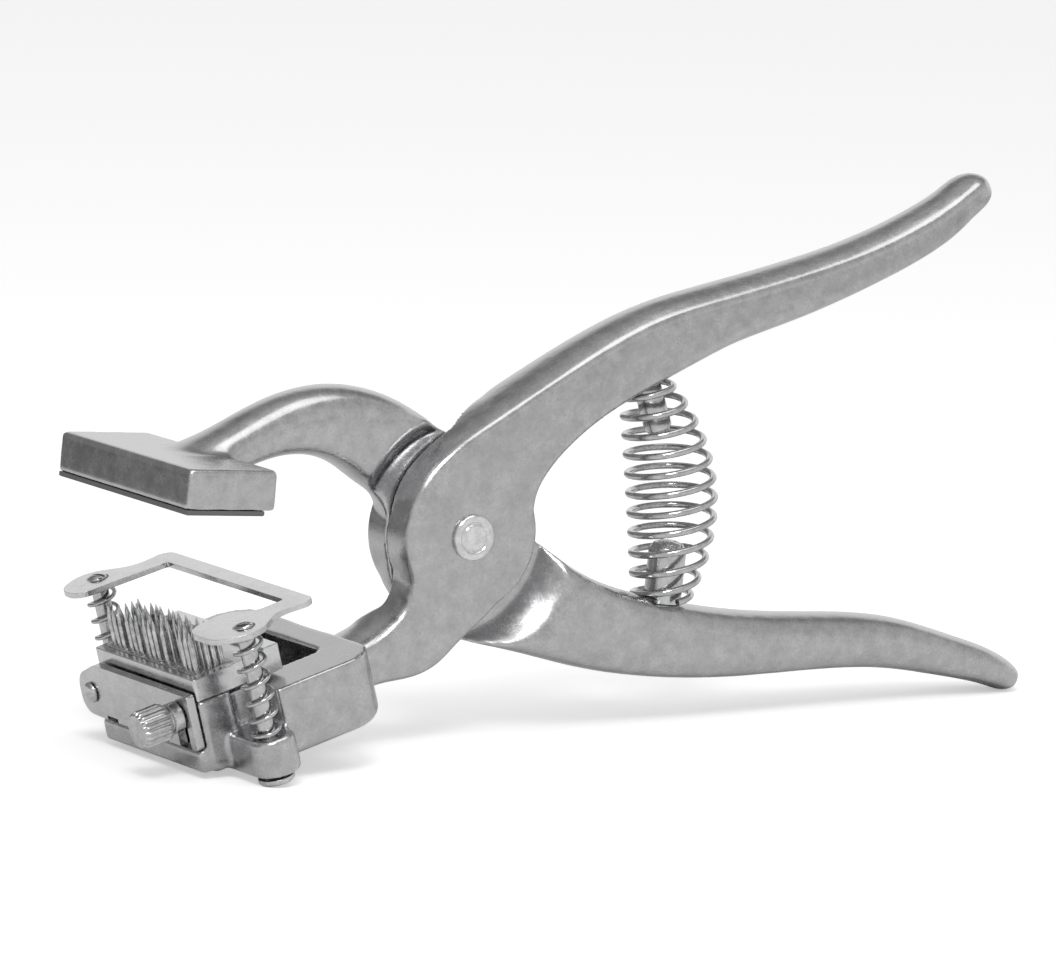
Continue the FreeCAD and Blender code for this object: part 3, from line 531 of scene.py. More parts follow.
def coil_tree() -> Tree:
    """Tree that winds a coil spring whose radius swells from one end to the middle and back."""
    tree = Tree("wound_spring", {
        "Start": "NodeSocketVector", "End": "NodeSocketVector", "Bow": "NodeSocketVector",
        "Turns": "NodeSocketFloat", "Closed Turns": "NodeSocketFloat", "Wire Radius": "NodeSocketFloat",
        "Start Radius": "NodeSocketFloat", "Middle Radius": "NodeSocketFloat",
        "End Radius": "NodeSocketFloat", "Steps": "NodeSocketInt"})
    size, add = tree.inputs, tree.add
    span = add("ShaderNodeVectorMath", {0: size["End"], 1: size["Start"]}, operation="SUBTRACT")
    axis = add("ShaderNodeVectorMath", {0: span}, operation="NORMALIZE")
    whole = add("ShaderNodeVectorMath", {0: span}, operation="LENGTH").outputs["Value"]
    thick = add("ShaderNodeMath", {0: size["Wire Radius"], 1: 2.0}, operation="MULTIPLY")
    length = add("ShaderNodeMath", {0: whole, 1: thick}, operation="SUBTRACT")
    line = add("GeometryNodeMeshLine", {"Count": size["Steps"]}, mode="OFFSET")
    path = add("GeometryNodeMeshToCurve", {0: line})
    factor = add("GeometryNodeSplineParameter").outputs["Factor"]
    turn = add("ShaderNodeMath", {0: factor, 1: size["Turns"]}, operation="MULTIPLY")
    closed = size["Closed Turns"]
    closed_pitch = add("ShaderNodeMath", {0: size["Wire Radius"], 1: 2.3}, operation="MULTIPLY")
    both_ends = add("ShaderNodeMath", {0: closed, 1: 2.0}, operation="MULTIPLY")
    open_turns = add("ShaderNodeMath", {0: size["Turns"], 1: both_ends}, operation="SUBTRACT")
    closed_length = add("ShaderNodeMath", {0: both_ends, 1: closed_pitch}, operation="MULTIPLY")
    open_length = add("ShaderNodeMath", {0: length, 1: closed_length}, operation="SUBTRACT")
    open_pitch = add("ShaderNodeMath", {0: open_length, 1: open_turns}, operation="DIVIDE")
    first = add("ShaderNodeMath", {0: turn, 1: closed}, operation="MINIMUM")
    past_first = add("ShaderNodeMath", {0: turn, 1: closed}, operation="SUBTRACT")
    started = add("ShaderNodeMath", {0: past_first, 1: 0.0}, operation="MAXIMUM")
    middle = add("ShaderNodeMath", {0: started, 1: open_turns}, operation="MINIMUM")
    past_middle = add("ShaderNodeMath", {0: past_first, 1: open_turns}, operation="SUBTRACT")
    last = add("ShaderNodeMath", {0: past_middle, 1: 0.0}, operation="MAXIMUM")
    ends = add("ShaderNodeMath", {0: first, 1: last}, operation="ADD")
    ends_along = add("ShaderNodeMath", {0: ends, 1: closed_pitch}, operation="MULTIPLY")
    along = add("ShaderNodeMath", {0: middle, 1: open_pitch, 2: ends_along}, operation="MULTIPLY_ADD")
    share = add("ShaderNodeMath", {0: along, 1: length}, operation="DIVIDE")
    rest = add("ShaderNodeMath", {0: 1.0, 1: share}, operation="SUBTRACT")
    swell = add("ShaderNodeMath", {0: share, 1: rest}, operation="MULTIPLY")
    swell_full = add("ShaderNodeMath", {0: swell, 1: 4.0}, operation="MULTIPLY")
    tilt = add("ShaderNodeMix", {"Factor": share, 2: size["Start Radius"], 3: size["End Radius"]})
    halfway = add("ShaderNodeMix", {"Factor": 0.5, 2: size["Start Radius"], 3: size["End Radius"]})
    barrel = add("ShaderNodeMath", {0: size["Middle Radius"], 1: halfway}, operation="SUBTRACT")
    radius = add("ShaderNodeMath", {0: barrel, 1: swell_full, 2: tilt}, operation="MULTIPLY_ADD")
    angle = add("ShaderNodeMath", {0: turn, 1: math.tau}, operation="MULTIPLY")
    cosine = add("ShaderNodeMath", {0: angle}, operation="COSINE")
    sine = add("ShaderNodeMath", {0: angle}, operation="SINE")
    aside = add("ShaderNodeMath", {0: radius, 1: cosine}, operation="MULTIPLY")
    back = add("ShaderNodeMath", {0: radius, 1: sine}, operation="MULTIPLY")
    across = (0.0, 1.0, 0.0)
    beside = add("ShaderNodeVectorMath", {0: axis, 1: across}, operation="CROSS_PRODUCT")
    lift = add("ShaderNodeMath", {0: along, 1: size["Wire Radius"]}, operation="ADD")
    climb = add("ShaderNodeVectorMath", {0: axis, "Scale": lift}, operation="SCALE")
    bowed = add("ShaderNodeVectorMath", {0: size["Bow"], "Scale": swell_full}, operation="SCALE")
    out_y = add("ShaderNodeVectorMath", {0: across, "Scale": aside}, operation="SCALE")
    out_x = add("ShaderNodeVectorMath", {0: beside, "Scale": back}, operation="SCALE")
    place = size["Start"]
    for part in (climb, bowed, out_y, out_x):
        place = add("ShaderNodeVectorMath", {0: place, 1: part}, operation="ADD")
    wound = add("GeometryNodeSetPosition", {"Geometry": path, "Position": place})
    ring = add("GeometryNodeCurvePrimitiveCircle", {"Resolution": 12, "Radius": size["Wire Radius"]})
    wire = add("GeometryNodeCurveToMesh", {"Curve": wound, "Profile Curve": ring, "Fill Caps": True})
    tree.close(wire)
    return tree


@dataclass
class HandleSpring:
    """Barrel spring between the handles, bowed towards their ends."""

    upper_seat: tuple[float, float] = (59.5, 17.28)
    lower_seat: tuple[float, float] = (61.0, -16.62)
    clearance: float = 0.3
    bow: float = 5.0
    turns: float = 11.5
    closed_turns: float = 0.5
    wire_radius: float = 0.82
    upper_radius: float = 6.0
    middle_radius: float = 10.2
    lower_radius: float = 6.8
    steps: int = 420

    def build(self, shop: Workshop, tree: Tree) -> bpy.types.Object:
        """Wind the spring between the two levers."""
        jaw = shop.jaw
        upper = jaw.point(self.upper_seat[0], 0.0, self.upper_seat[1])
        lower = jaw.rear_point(self.lower_seat[0], 0.0, self.lower_seat[1])
        axis = (lower - upper).normalized()
        start = upper + axis * (self.clearance * MM)
        end = lower - axis * (self.clearance * MM)
        bow = Vector((-axis.z, 0.0, axis.x)) * (self.bow * MM)
        piece = tree.run("handle_spring_wire", {
            "Start": start, "End": end, "Bow": bow, "Turns": self.turns,
            "Closed Turns": self.closed_turns,
            "Wire Radius": self.wire_radius * MM, "Start Radius": self.upper_radius * MM,
            "Middle Radius": self.middle_radius * MM, "End Radius": self.lower_radius * MM,
            "Steps": self.steps, "Material": shop.material(SPRING_WIRE)})
        shade(piece)
        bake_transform(piece)
        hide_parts("handle_spring")
        log.info("%s: %d faces", piece.name, len(piece.data.polygons))
        return piece


@dataclass
class PostSpring:
    """Spring round a guide post, from the lug's top to the release frame."""

    side: str
    across: float
    post_x: float = -76.0
    bottom: float = -17.1
    top: float = 7.7
    travel: float = 7.0
    radius: float = 3.2
    wire_radius: float = 0.5
    turns: float = 6.5
    steps: int = 240

    def build(self, shop: Workshop, tree: Tree) -> bpy.types.Object:
        """Wind the spring and give it to the front lever."""
        jaw = shop.jaw
        start = jaw.point(self.post_x, self.across, self.bottom)
        piece = tree.run("post_spring_%s_wire" % self.side, {
            "Start": start, "End": jaw.point(self.post_x, self.across, self.top),
            "Bow": Vector((0.0, 0.0, 0.0)), "Turns": self.turns, "Closed Turns": 0.5,
            "Wire Radius": self.wire_radius * MM, "Start Radius": self.radius * MM,
            "Middle Radius": self.radius * MM, "End Radius": self.radius * MM,
            "Steps": self.steps, "Material": shop.material(SPRING_WIRE)})
        shade(piece)
        shop.hand_over(piece, "front_lever", Slot.SPRING, "post_spring_" + self.side)
        jaw.direction(0, 0, 1)
        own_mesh(piece)
        return piece


def needle_tree() -> Tree:
    """Tree that sets a pointed needle on every point, each leaning a little its own way."""
    tree = Tree("set_needles", {
        "Radius": "NodeSocketFloat", "Length": "NodeSocketFloat", "Point": "NodeSocketFloat",
        "Lean": "NodeSocketFloat", "Seed": "NodeSocketInt"})
    size, add = tree.inputs, tree.add
    shank_length = add("ShaderNodeMath", {0: size["Length"], 1: size["Point"]}, operation="SUBTRACT")
    shank = add("GeometryNodeMeshCylinder", {
        "Vertices": 14, "Radius": size["Radius"], "Depth": shank_length})
    half = add("ShaderNodeMath", {0: shank_length, 1: 0.5}, operation="MULTIPLY")
    shank_up = add("ShaderNodeCombineXYZ", {"Z": half})
    stood = add("GeometryNodeTransform", {"Geometry": shank, "Translation": shank_up})
    fine = add("ShaderNodeMath", {0: size["Radius"], 1: 0.16}, operation="MULTIPLY")
    point = add("GeometryNodeMeshCone", {
        "Vertices": 14, "Side Segments": 2, "Radius Top": fine, "Radius Bottom": size["Radius"],
        "Depth": size["Point"]})
    point_up = add("ShaderNodeCombineXYZ", {"Z": shank_length})
    topped = add("GeometryNodeTransform", {"Geometry": point, "Translation": point_up})
    needle = add("GeometryNodeJoinGeometry")
    tree.tree.links.new(topped.outputs[0], needle.inputs[0])
    tree.tree.links.new(stood.outputs[0], needle.inputs[0])
    whole = add("GeometryNodeMergeByDistance", {"Geometry": needle, "Distance": 1e-6})
    smooth = add("GeometryNodeSetShadeSmooth", {"Geometry": whole})
    least = add("ShaderNodeMath", {0: size["Lean"], 1: -1.0}, operation="MULTIPLY")
    low = add("ShaderNodeCombineXYZ", {"X": least, "Y": least, "Z": 0.0})
    high = add("ShaderNodeCombineXYZ", {"X": size["Lean"], "Y": size["Lean"], "Z": 0.0})
    lean = add("FunctionNodeRandomValue", {0: low, 1: high, "Seed": size["Seed"]},
               data_type="FLOAT_VECTOR")
    points = add("GeometryNodeMeshToPoints", {"Mesh": size["Geometry"]})
    placed = add("GeometryNodeInstanceOnPoints", {
        "Points": points, "Instance": smooth, "Rotation": lean})
    tree.close(placed)
    return tree


def bevelled_box(low: Vector, high: Vector, edge: float) -> bmesh.types.BMesh:
    """Box between two corners in metres with its edges broken."""
    shape = bmesh.new()
    middle, size = (low + high) / 2.0, high - low
    bmesh.ops.create_cube(shape, size=1.0, matrix=Matrix.LocRotScale(middle, None, size))
    bmesh.ops.bevel(shape, geom=shape.edges[:], offset=edge, segments=2, affect="EDGES", profile=0.5)
    return shape


@dataclass
class TypeRow:
    """The five types in the cassette: blocks with needles set in plain figures."""

    front: float = -84.0
    depth: float = 10.0
    pitch: float = 8.0
    play: float = 0.05
    base: float = -7.8
    top: float = -2.25
    needle_radius: float = 0.68
    needle_top: float = 7.05
    point_length: float = 2.6
    column_pitch: float = 2.2
    row_pitch: float = 1.7
    lean_degrees: float = 0.7
    edge: float = 0.2
    figures: dict[int, tuple[str, ...]] = field(default_factory=lambda: {
        1: ("010", "110", "010", "010", "111"),
        2: ("111", "001", "111", "100", "111"),
        3: ("111", "001", "111", "001", "111"),
        4: ("101", "101", "111", "001", "001"),
        5: ("111", "100", "111", "001", "111"),
    })

    def build(self, shop: Workshop) -> None:
        """Make each type from its block and its needles."""
        tree = needle_tree()
        for number in self.figures:
            needles = self.needles(shop, tree, number)
            block = self.block(number)
            block.from_mesh(needles.data)
            block_faces = 0
            for face in block.faces:
                face.material_index = 1 if face.index >= self.block_face_count else 0
                block_faces += face.material_index == 0
            mesh = bpy.data.meshes.new("type_%d_set" % number)
            block.to_mesh(mesh)
            block.free()
            bpy.data.objects.remove(needles)
            mesh.transform(shop.jaw.matrix(0, 0, 0))
            piece = new_object("type_%d_set" % number, mesh)
            mesh.materials.append(shop.material(TYPE_BLOCK))
            mesh.materials.append(shop.material(NEEDLE_STEEL))
            shade(piece)
            shop.hand_over(piece, "front_lever", Slot.TYPE, "type_%d" % number)

    def middle(self, number: int) -> tuple[float, float]:
        """Middle of a type in the jaw frame, the first one on the far side."""
        return self.front + 0.5 * self.depth, (0.5 * (len(self.figures) + 1) - number) * self.pitch

    def block(self, number: int) -> bmesh.types.BMesh:
        """The type's block, in metres along the jaw frame's axes."""
        x, y = self.middle(number)
        half_depth, half_width = 0.5 * self.depth - self.play, 0.5 * self.pitch - self.play
        low = Vector((x - half_depth, y - half_width, self.base)) * MM
        high = Vector((x + half_depth, y + half_width, self.top)) * MM
        shape = bevelled_box(low, high, self.edge * MM)
        shape.faces.index_update()
        self.block_face_count = len(shape.faces)
        return shape

    def needles(self, shop: Workshop, tree: Tree, number: int) -> bpy.types.Object:
        """The type's needles, in metres along the jaw frame's axes."""
        x, y = self.middle(number)
        sunk = 0.5
        feet = [Vector((x + (2 - row) * self.row_pitch, y + (column - 1) * self.column_pitch,
                        self.top - sunk)) * MM
                for row, dots in enumerate(self.figures[number])
                for column, dot in enumerate(dots) if dot == "1"]
        mesh = bpy.data.meshes.new("needle_feet")
        mesh.from_pydata(feet, [], [])
        return tree.run("needles", {
            "Radius": self.needle_radius * MM, "Length": (self.needle_top - self.top + sunk) * MM,
            "Point": self.point_length * MM, "Lean": math.radians(self.lean_degrees), "Seed": number,
            "Material": shop.material(NEEDLE_STEEL)}, mesh)


def knurl_tree() -> Tree:
    """Tree that flutes a round head along its length, with the flutes running out at both ends."""
    tree = Tree("fluted_head", {
        "Radius": "NodeSocketFloat", "Length": "NodeSocketFloat", "Flutes": "NodeSocketInt",
        "Depth": "NodeSocketFloat", "Chamfer": "NodeSocketFloat"})
    size, add = tree.inputs, tree.add
    around = add("ShaderNodeMath", {0: size["Flutes"], 1: 10.0}, operation="MULTIPLY")
    drum = add("GeometryNodeMeshCylinder", {
        "Vertices": around, "Side Segments": 16, "Fill Segments": 4,
        "Radius": size["Radius"], "Depth": size["Length"]})
    place = add("GeometryNodeInputPosition")
    axes = add("ShaderNodeSeparateXYZ", {0: place})
    angle = add("ShaderNodeMath", {0: axes.outputs["Y"], 1: axes.outputs["X"]}, operation="ARCTAN2")
    phase = add("ShaderNodeMath", {0: angle, 1: size["Flutes"]}, operation="MULTIPLY")
    wave = add("ShaderNodeMath", {0: phase}, operation="COSINE")
    valley = add("ShaderNodeMapRange", {"Value": wave, "From Min": 0.6, "From Max": -0.8})
    height = add("ShaderNodeMath", {0: axes.outputs["Z"]}, operation="ABSOLUTE")
    half = add("ShaderNodeMath", {0: size["Length"], 1: 0.5}, operation="MULTIPLY")
    inside = add("ShaderNodeMath", {0: half, 1: height}, operation="SUBTRACT")
    run_out = add("ShaderNodeMapRange", {"Value": inside, "From Max": size["Chamfer"]})
    flute = add("ShaderNodeMath", {0: valley, 1: run_out}, operation="MULTIPLY")
    cut = add("ShaderNodeMath", {0: flute, 1: size["Depth"]}, operation="MULTIPLY")
    turned_off = add("ShaderNodeMath", {0: 1.0, 1: run_out}, operation="SUBTRACT")
    drop = add("ShaderNodeMath", {0: turned_off, 1: size["Chamfer"]}, operation="MULTIPLY")
    less = add("ShaderNodeMath", {0: cut, 1: drop}, operation="ADD")
    kept = add("ShaderNodeMath", {0: size["Radius"], 1: less}, operation="SUBTRACT")
    ratio = add("ShaderNodeMath", {0: kept, 1: size["Radius"]}, operation="DIVIDE")
    scale = add("ShaderNodeCombineXYZ", {"X": ratio, "Y": ratio, "Z": 1.0})
    moved = add("ShaderNodeVectorMath", {0: place, 1: scale}, operation="MULTIPLY")
    fluted = add("GeometryNodeSetPosition", {"Geometry": drum, "Position": moved})
    tree.close(fluted)
    return tree


def turned_shape(profile: list[tuple[float, float]], segments: int) -> bmesh.types.BMesh:
    """Solid of revolution about X of (distance along X, radius) points that start and end on the axis."""
    shape = bmesh.new()
    rings = []
    for along, radius in profile:
        if radius < 1e-9:
            rings.append([shape.verts.new((along, 0.0, 0.0))])
            continue
        rings.append([shape.verts.new((along, radius * math.cos(math.tau * i / segments),
                                       radius * math.sin(math.tau * i / segments)))
                      for i in range(segments)])
    for near, far in zip(rings, rings[1:]):
        for i in range(segments):
            corners = [near[i % len(near)], near[(i + 1) % len(near)],
                       far[(i + 1) % len(far)], far[i % len(far)]]
            shape.faces.new(list(dict.fromkeys(corners)))
    bmesh.ops.recalc_face_normals(shape, faces=shape.faces)
    return shape


@dataclass
class ThumbScrew:
    """Fluted thumb screw with a groove, a collar and an end in the jaw, made plain without a thread."""

    seat: float = -88.9
    across: float = -17.2
    height: float = -10.8
    neck_radius: float = 1.75
    end: float = 9.6
    collar_radius: float = 3.6
    collar_length: float = 2.6
    groove_radius: float = 2.9
    groove_length: float = 0.9
    head_radius: float = 4.5
    head_length: float = 7.4
    flutes: int = 20
    flute_depth: float = 0.5
    chamfer: float = 0.65
    edge: float = 0.3
    segments: int = 64

    def build(self, shop: Workshop) -> bpy.types.Object:
        """Turn the core, flute the head and join them."""
        head = knurl_tree().run("thumb_head", {
            "Radius": self.head_radius * MM, "Length": self.head_length * MM, "Flutes": self.flutes,
            "Depth": self.flute_depth * MM, "Chamfer": self.chamfer * MM,
            "Material": shop.material(TURNED_STEEL)})
        head_middle = -self.collar_length - self.groove_length - 0.5 * self.head_length
        head.data.transform(Matrix.Translation((head_middle * MM, 0.0, 0.0))
                            @ Matrix.Rotation(math.radians(90.0), 4, "Y"))
        collar = -self.collar_length
        shape = turned_shape([(x * MM, r * MM) for x, r in (
            (collar - self.groove_length - 0.3, 0.0),
            (collar - self.groove_length - 0.3, self.groove_radius),
            (collar, self.groove_radius),
            (collar, self.collar_radius - self.edge),
            (collar + self.edge, self.collar_radius),
            (-self.edge, self.collar_radius),
            (0.0, self.collar_radius - self.edge),
            (0.0, self.neck_radius),
            (self.end, self.neck_radius),
            (self.end, 0.0))], self.segments)
        shape.from_mesh(head.data)
        mesh = bpy.data.meshes.new("thumb_screw_turned")
        shape.to_mesh(mesh)
        shape.free()
        bpy.data.objects.remove(head)
        mesh.transform(shop.jaw.matrix(self.seat, self.across, self.height))
        piece = new_object("thumb_screw_turned", mesh)
        mesh.materials.append(shop.material(TURNED_STEEL))
        shade(piece)
        return shop.hand_over(piece, "thumb_screw", Slot.STEEL, "thumb_screw")


@dataclass
class SlottedScrew:
    """Turned screw with a domed, slotted head; sizes run along the axis from the head's seat."""

    node: str
    body: str
    seat: tuple[float, float, float]
    points_down: bool
    shank_radius: float
    shank_length: float
    head_radius: float
    head_height: float
    sunk: float
    slot_width: float = 0.7
    slot_turn_degrees: float = 0.0
    rings: int = 6
    segments: int = 48

    def profile(self) -> list[tuple[float, float]]:
        """Distance along the axis and radius, from the shank's end round the dome to the axis."""
        rim = 0.12 * self.head_height
        points = [(-self.shank_length, 0.0), (-self.shank_length, self.shank_radius),
                  (-self.sunk, self.shank_radius), (0.0, self.head_radius), (rim, self.head_radius)]
        for i in range(1, self.rings + 1):
            angle = 0.5 * math.pi * i / self.rings
            points.append((rim + (self.head_height - rim) * math.sin(angle),
                           self.head_radius * math.cos(angle) if i < self.rings else 0.0))
        return points

    def build(self, shop: Workshop) -> bpy.types.Object:
        """Turn the screw, mill its slot and put it in its seat."""
        shape = turned_shape([(x * MM, r * MM) for x, r in self.profile()], self.segments)
        mesh = bpy.data.meshes.new(self.node + "_turned")
        shape.to_mesh(mesh)
        shape.free()
        piece = new_object(self.node + "_turned", mesh)
        cutter_shape = bmesh.new()
        bmesh.ops.create_cube(cutter_shape, size=1.0, matrix=Matrix.LocRotScale(
            Vector((self.head_height, 0.0, 0.0)) * MM, None,
            Vector((1.1 * self.head_height, 4.0 * self.head_radius, self.slot_width)) * MM))
        cutter_mesh = bpy.data.meshes.new("slot_cutter")
        cutter_shape.to_mesh(cutter_mesh)
        cutter_shape.free()
        cutter = new_object("slot_cutter", cutter_mesh)
        slot = piece.modifiers.new("slot", "BOOLEAN")
        slot.object = cutter
        slot.solver = "EXACT"
        edge = piece.modifiers.new("edges", "BEVEL")
        edge.width = 0.05 * MM
        edge.segments = 2
        edge.angle_limit = math.radians(40.0)
        settle(piece)
        bpy.data.objects.remove(cutter)
        towards_head = Matrix.Rotation(math.radians(-90.0 if self.points_down else 180.0), 4,
                                       "Y" if self.points_down else "Z")
        turn = Matrix.Rotation(math.radians(self.slot_turn_degrees), 4, "X")
        piece.data.transform(shop.jaw.matrix(*self.seat) @ towards_head @ turn)
        piece.data.materials.clear()
        piece.data.materials.append(shop.material(TURNED_STEEL))
        shade(piece)
        level_normals(piece)
        return shop.hand_over(piece, self.body, Slot.STEEL, self.node)


def screws() -> list[SlottedScrew]:
    """The latch plate's screw and the two that hold the release frame to its posts."""
    pieces = [SlottedScrew("latch_screw", "front_lever", (-88.9, 23.1, -12.8), False, 1.55, 8.2, 2.5, 1.2,
                           0.0, slot_turn_degrees=20.0)]
    for side, across, turn in (("near", -33.0, 62.0), ("far", 33.0, 25.0)):
        pieces.append(SlottedScrew("frame_screw_" + side, "release_frame", (-76.0, across, 9.15), True,
                                   1.05, 6.2, 2.2, 1.0, 0.85, slot_turn_degrees=turn))
    return pieces


@dataclass
class Studio:
    """Pale floor, white surround, soft lamps and the camera of the photograph."""

    jaw_tilt_degrees: float = 13.21
    azimuth_degrees: float = 32.84
    elevation_degrees: float = 10.6
    camera_place: tuple[float, float, float] = (-957.0, -1515.3, 347.5)
    focal_px: float = 7849.0
    frame_width_px: float = 1056.0
    sensor_mm: float = 36.0
    floor_half_m: float = 4.0
    near_wall: tuple[tuple[float, float], ...] = ((-1.0, 0.7), (0.0, 0.78), (0.35, 0.66), (0.80, 0.50), (1.0, 0.70))
    far_wall: tuple[tuple[float, float], ...] = ((-1.0, 0.3), (0.0, 0.28), (0.70, 0.25), (0.92, 0.55), (1.0, 0.65))
    right_end: tuple[tuple[float, float], ...] = ((-1.0, 0.9), (0.0, 0.95), (0.46, 0.95), (0.56, 0.30),
                                                  (0.75, 0.28), (0.92, 0.55), (1.0, 0.65))
    # Band and direction past which the floor is painted darker in reflections only: painted shade
    floor_reflection_shade_band: tuple[float, float] = (0.30, 0.55)
    floor_reflection_shade_direction: tuple[float, float, float] = (-0.55, 0.83, 0.0)

    def build(self, shop: Workshop) -> None:
        """Set the stage."""
        self.world()
        self.floor()
        self.lamps()
        self.camera(shop.jaw)
        bpy.context.scene.view_settings.view_transform = "Standard"

    def world(self) -> None:
        """White surround for the camera; metal sees a room with a pale right end and a dark far side."""
        world = bpy.data.worlds.new("studio_surround")
        world.use_nodes = True
        tree = world.node_tree
        background = tree.nodes["Background"]
        place = add_node(tree, "ShaderNodeTexCoord").outputs["Generated"]
        axes = add_node(tree, "ShaderNodeSeparateXYZ", {0: place})
        near = self.grey_ramp(tree, axes.outputs["Z"], self.near_wall)
        far = self.grey_ramp(tree, axes.outputs["Z"], self.far_wall)
        pale = self.grey_ramp(tree, axes.outputs["Z"], self.right_end)
        rightwards = add_node(tree, "ShaderNodeMapRange", {
            "Value": axes.outputs["X"], "From Min": 0.12, "From Max": 0.30})
        behind = add_node(tree, "ShaderNodeMix", {
            "Factor": rightwards, 6: far, 7: pale}, data_type="RGBA")
        farwards = add_node(tree, "ShaderNodeMapRange", {
            "Value": axes.outputs["Y"], "From Min": -0.15, "From Max": 0.15})
        room = add_node(tree, "ShaderNodeMix", {
            "Factor": farwards, 6: near, 7: behind.outputs[2]}, data_type="RGBA")
        ray = add_node(tree, "ShaderNodeLightPath")
        seen = add_node(tree, "ShaderNodeMix", {
            "Factor": ray.outputs["Is Camera Ray"], 6: room.outputs[2], 7: (1.0, 1.0, 1.0, 1.0)},
            data_type="RGBA")
        tree.links.new(seen.outputs[2], background.inputs["Color"])
        bpy.context.scene.world = world

    @staticmethod
    def grey_ramp(tree: bpy.types.NodeTree, height: bpy.types.NodeSocket,
                  stops: tuple[tuple[float, float], ...]) -> bpy.types.NodeSocket:
        """Greys by height, from straight down (-1) to straight up (1)."""
        level = add_node(tree, "ShaderNodeMapRange", {"Value": height, "From Min": -1.0})
        ramp = add_node(tree, "ShaderNodeValToRGB", {"Fac": level})
        elements = ramp.color_ramp.elements
        while len(elements) < len(stops):
            elements.new(0.5)
        for element, (position, value) in zip(elements, stops):
            element.position = 0.5 * (position + 1.0)
            element.color = (value, value, value, 1.0)
        return ramp.outputs["Color"]

    def floor(self) -> None:
        """Pale matt floor that keeps the pliers' shadow and otherwise reads as white; in reflections its part
        beyond a band is painted darker, as painted shade.
        """
        half = self.floor_half_m
        mesh = bpy.data.meshes.new("studio_floor")
        mesh.from_pydata([(-half, -half, 0), (half, -half, 0), (half, half, 0), (-half, half, 0)], [],
                         [(0, 1, 2, 3)])
        material = bpy.data.materials.new("matt_white_paper")
        material.use_nodes = True
        tree = material.node_tree
        shader = tree.nodes["Principled BSDF"]
        place = add_node(tree, "ShaderNodeTexCoord").outputs["Object"]
        towards_end = add_node(tree, "ShaderNodeVectorMath", {0: place, 1: self.floor_reflection_shade_direction},
                               operation="DOT_PRODUCT").outputs["Value"]
        # Painted shade: past the band the floor reads darker, in reflections only
        in_floor_reflection_shade = add_node(tree, "ShaderNodeMapRange", {
            "Value": towards_end, "From Min": self.floor_reflection_shade_band[0], "From Max": self.floor_reflection_shade_band[1]})
        glossy = add_node(tree, "ShaderNodeLightPath").outputs["Is Glossy Ray"]
        unlit = add_node(tree, "ShaderNodeMath", {0: in_floor_reflection_shade, 1: glossy}, operation="MULTIPLY")
        paper = add_node(tree, "ShaderNodeMix", {
            "Factor": unlit, 6: srgb("#EDEDED"), 7: srgb("#8A8A8A")}, data_type="RGBA")
        tree.links.new(paper.outputs[2], shader.inputs["Base Color"])
        shader.inputs["Roughness"].default_value = 0.9
        shader.inputs["Specular IOR Level"].default_value = 0.1
        ray = add_node(tree, "ShaderNodeLightPath")
        lift = add_node(tree, "ShaderNodeMath", {0: ray.outputs["Is Camera Ray"], 1: 0.42},
                        operation="MULTIPLY")
        tree.links.new(lift.outputs[0], shader.inputs["Emission Strength"])
        shader.inputs["Emission Color"].default_value = (1.0, 1.0, 1.0, 1.0)
        mesh.materials.append(material)
        new_object("studio_floor", mesh)

    def lamps(self) -> None:
        """Two soft boxes: a small bright one over the camera's left and a larger one overhead."""
        boxes = (
            ("key_box", (-0.52, -0.65, 1.00), 0.42, 5.5),
            ("overhead_box", (0.15, -0.25, 1.35), 0.8, 2.5),
        )
        for name, place, size, power in boxes:
            lamp = bpy.data.lights.new(name, "AREA")
            lamp.energy = power
            lamp.size = size
            holder = bpy.data.objects.new(name, lamp)
            holder.location = place
            holder.rotation_euler = (Vector((0.0, 0.0, 0.05)) - Vector(place)).to_track_quat("-Z", "Y").to_euler()
            bpy.context.scene.collection.objects.link(holder)

    def camera(self, jaw: JawFrame) -> None:
        """Stand the photograph's camera where it was, as seen from the tilted jaw."""
        tilt = math.atan2(-jaw.up.x, jaw.up.z) - math.radians(self.jaw_tilt_degrees)
        turn = Matrix.Rotation(-tilt, 3, "Y")
        azimuth, elevation = math.radians(self.azimuth_degrees), math.radians(self.elevation_degrees)
        ahead = Vector((math.sin(azimuth) * math.cos(elevation), math.cos(azimuth) * math.cos(elevation),
                        -math.sin(elevation)))
        aside = ahead.cross(Vector((0.0, 0.0, 1.0))).normalized()
        above = aside.cross(ahead)
        basis = Matrix((turn @ aside, turn @ above, turn @ -ahead)).transposed().to_4x4()
        data = bpy.data.cameras.new("photo_camera")
        data.sensor_width = self.sensor_mm
        data.lens = self.focal_px / self.frame_width_px * self.sensor_mm
        data.clip_end = 20.0
        camera = bpy.data.objects.new("photo_camera", data)
        camera.matrix_world = Matrix.Translation(jaw.pivot + turn @ Vector(self.camera_place) * MM) @ basis
        bpy.context.scene.collection.objects.link(camera)
        bpy.context.scene.camera = camera


# Rim of the lap pocket on a lever's outer face: its radius, and the face's distance from the middle
POCKET_RIM = 30.5
HUB_FACE = 8.4
# Left flank of the near hub, which the casting rounds off more than the rest
HUB_LEFT = 19.0
# Middle lines of the arched arm, with the anvil level, and of the neck above the lower jaw
ARM_LINE = ((-25.0, 19.0), (-34.0, 24.0), (-44.0, 25.0), (-53.0, 22.5), (-61.0, 19.0), (-68.0, 16.5))
NECK_LINE = ((-14.0, -17.0), (-23.0, -19.5), (-33.0, -20.5))


def arc_points(place: Callable, radius: float, across: float, start: float, end: float,
               step: float = 6.0) -> tuple[Vector, ...]:
    """Points along an arc about the pivot.

    Args:
        place: Turns millimetres in a lever's own frame into a point.
        radius: The arc's radius.
        across: How far the arc is from the middle of the pliers.
        start: Angle of the arc's first point above +X, in degrees.
        end: Angle that the arc runs to.
        step: Angle between points.

    Returns:
        The points in metres.
    """
    count = int((end - start) / step) + 1
    angles = [math.radians(start + step * i) for i in range(count)]
    return tuple(place(radius * math.cos(angle), across, radius * math.sin(angle)) for angle in angles)


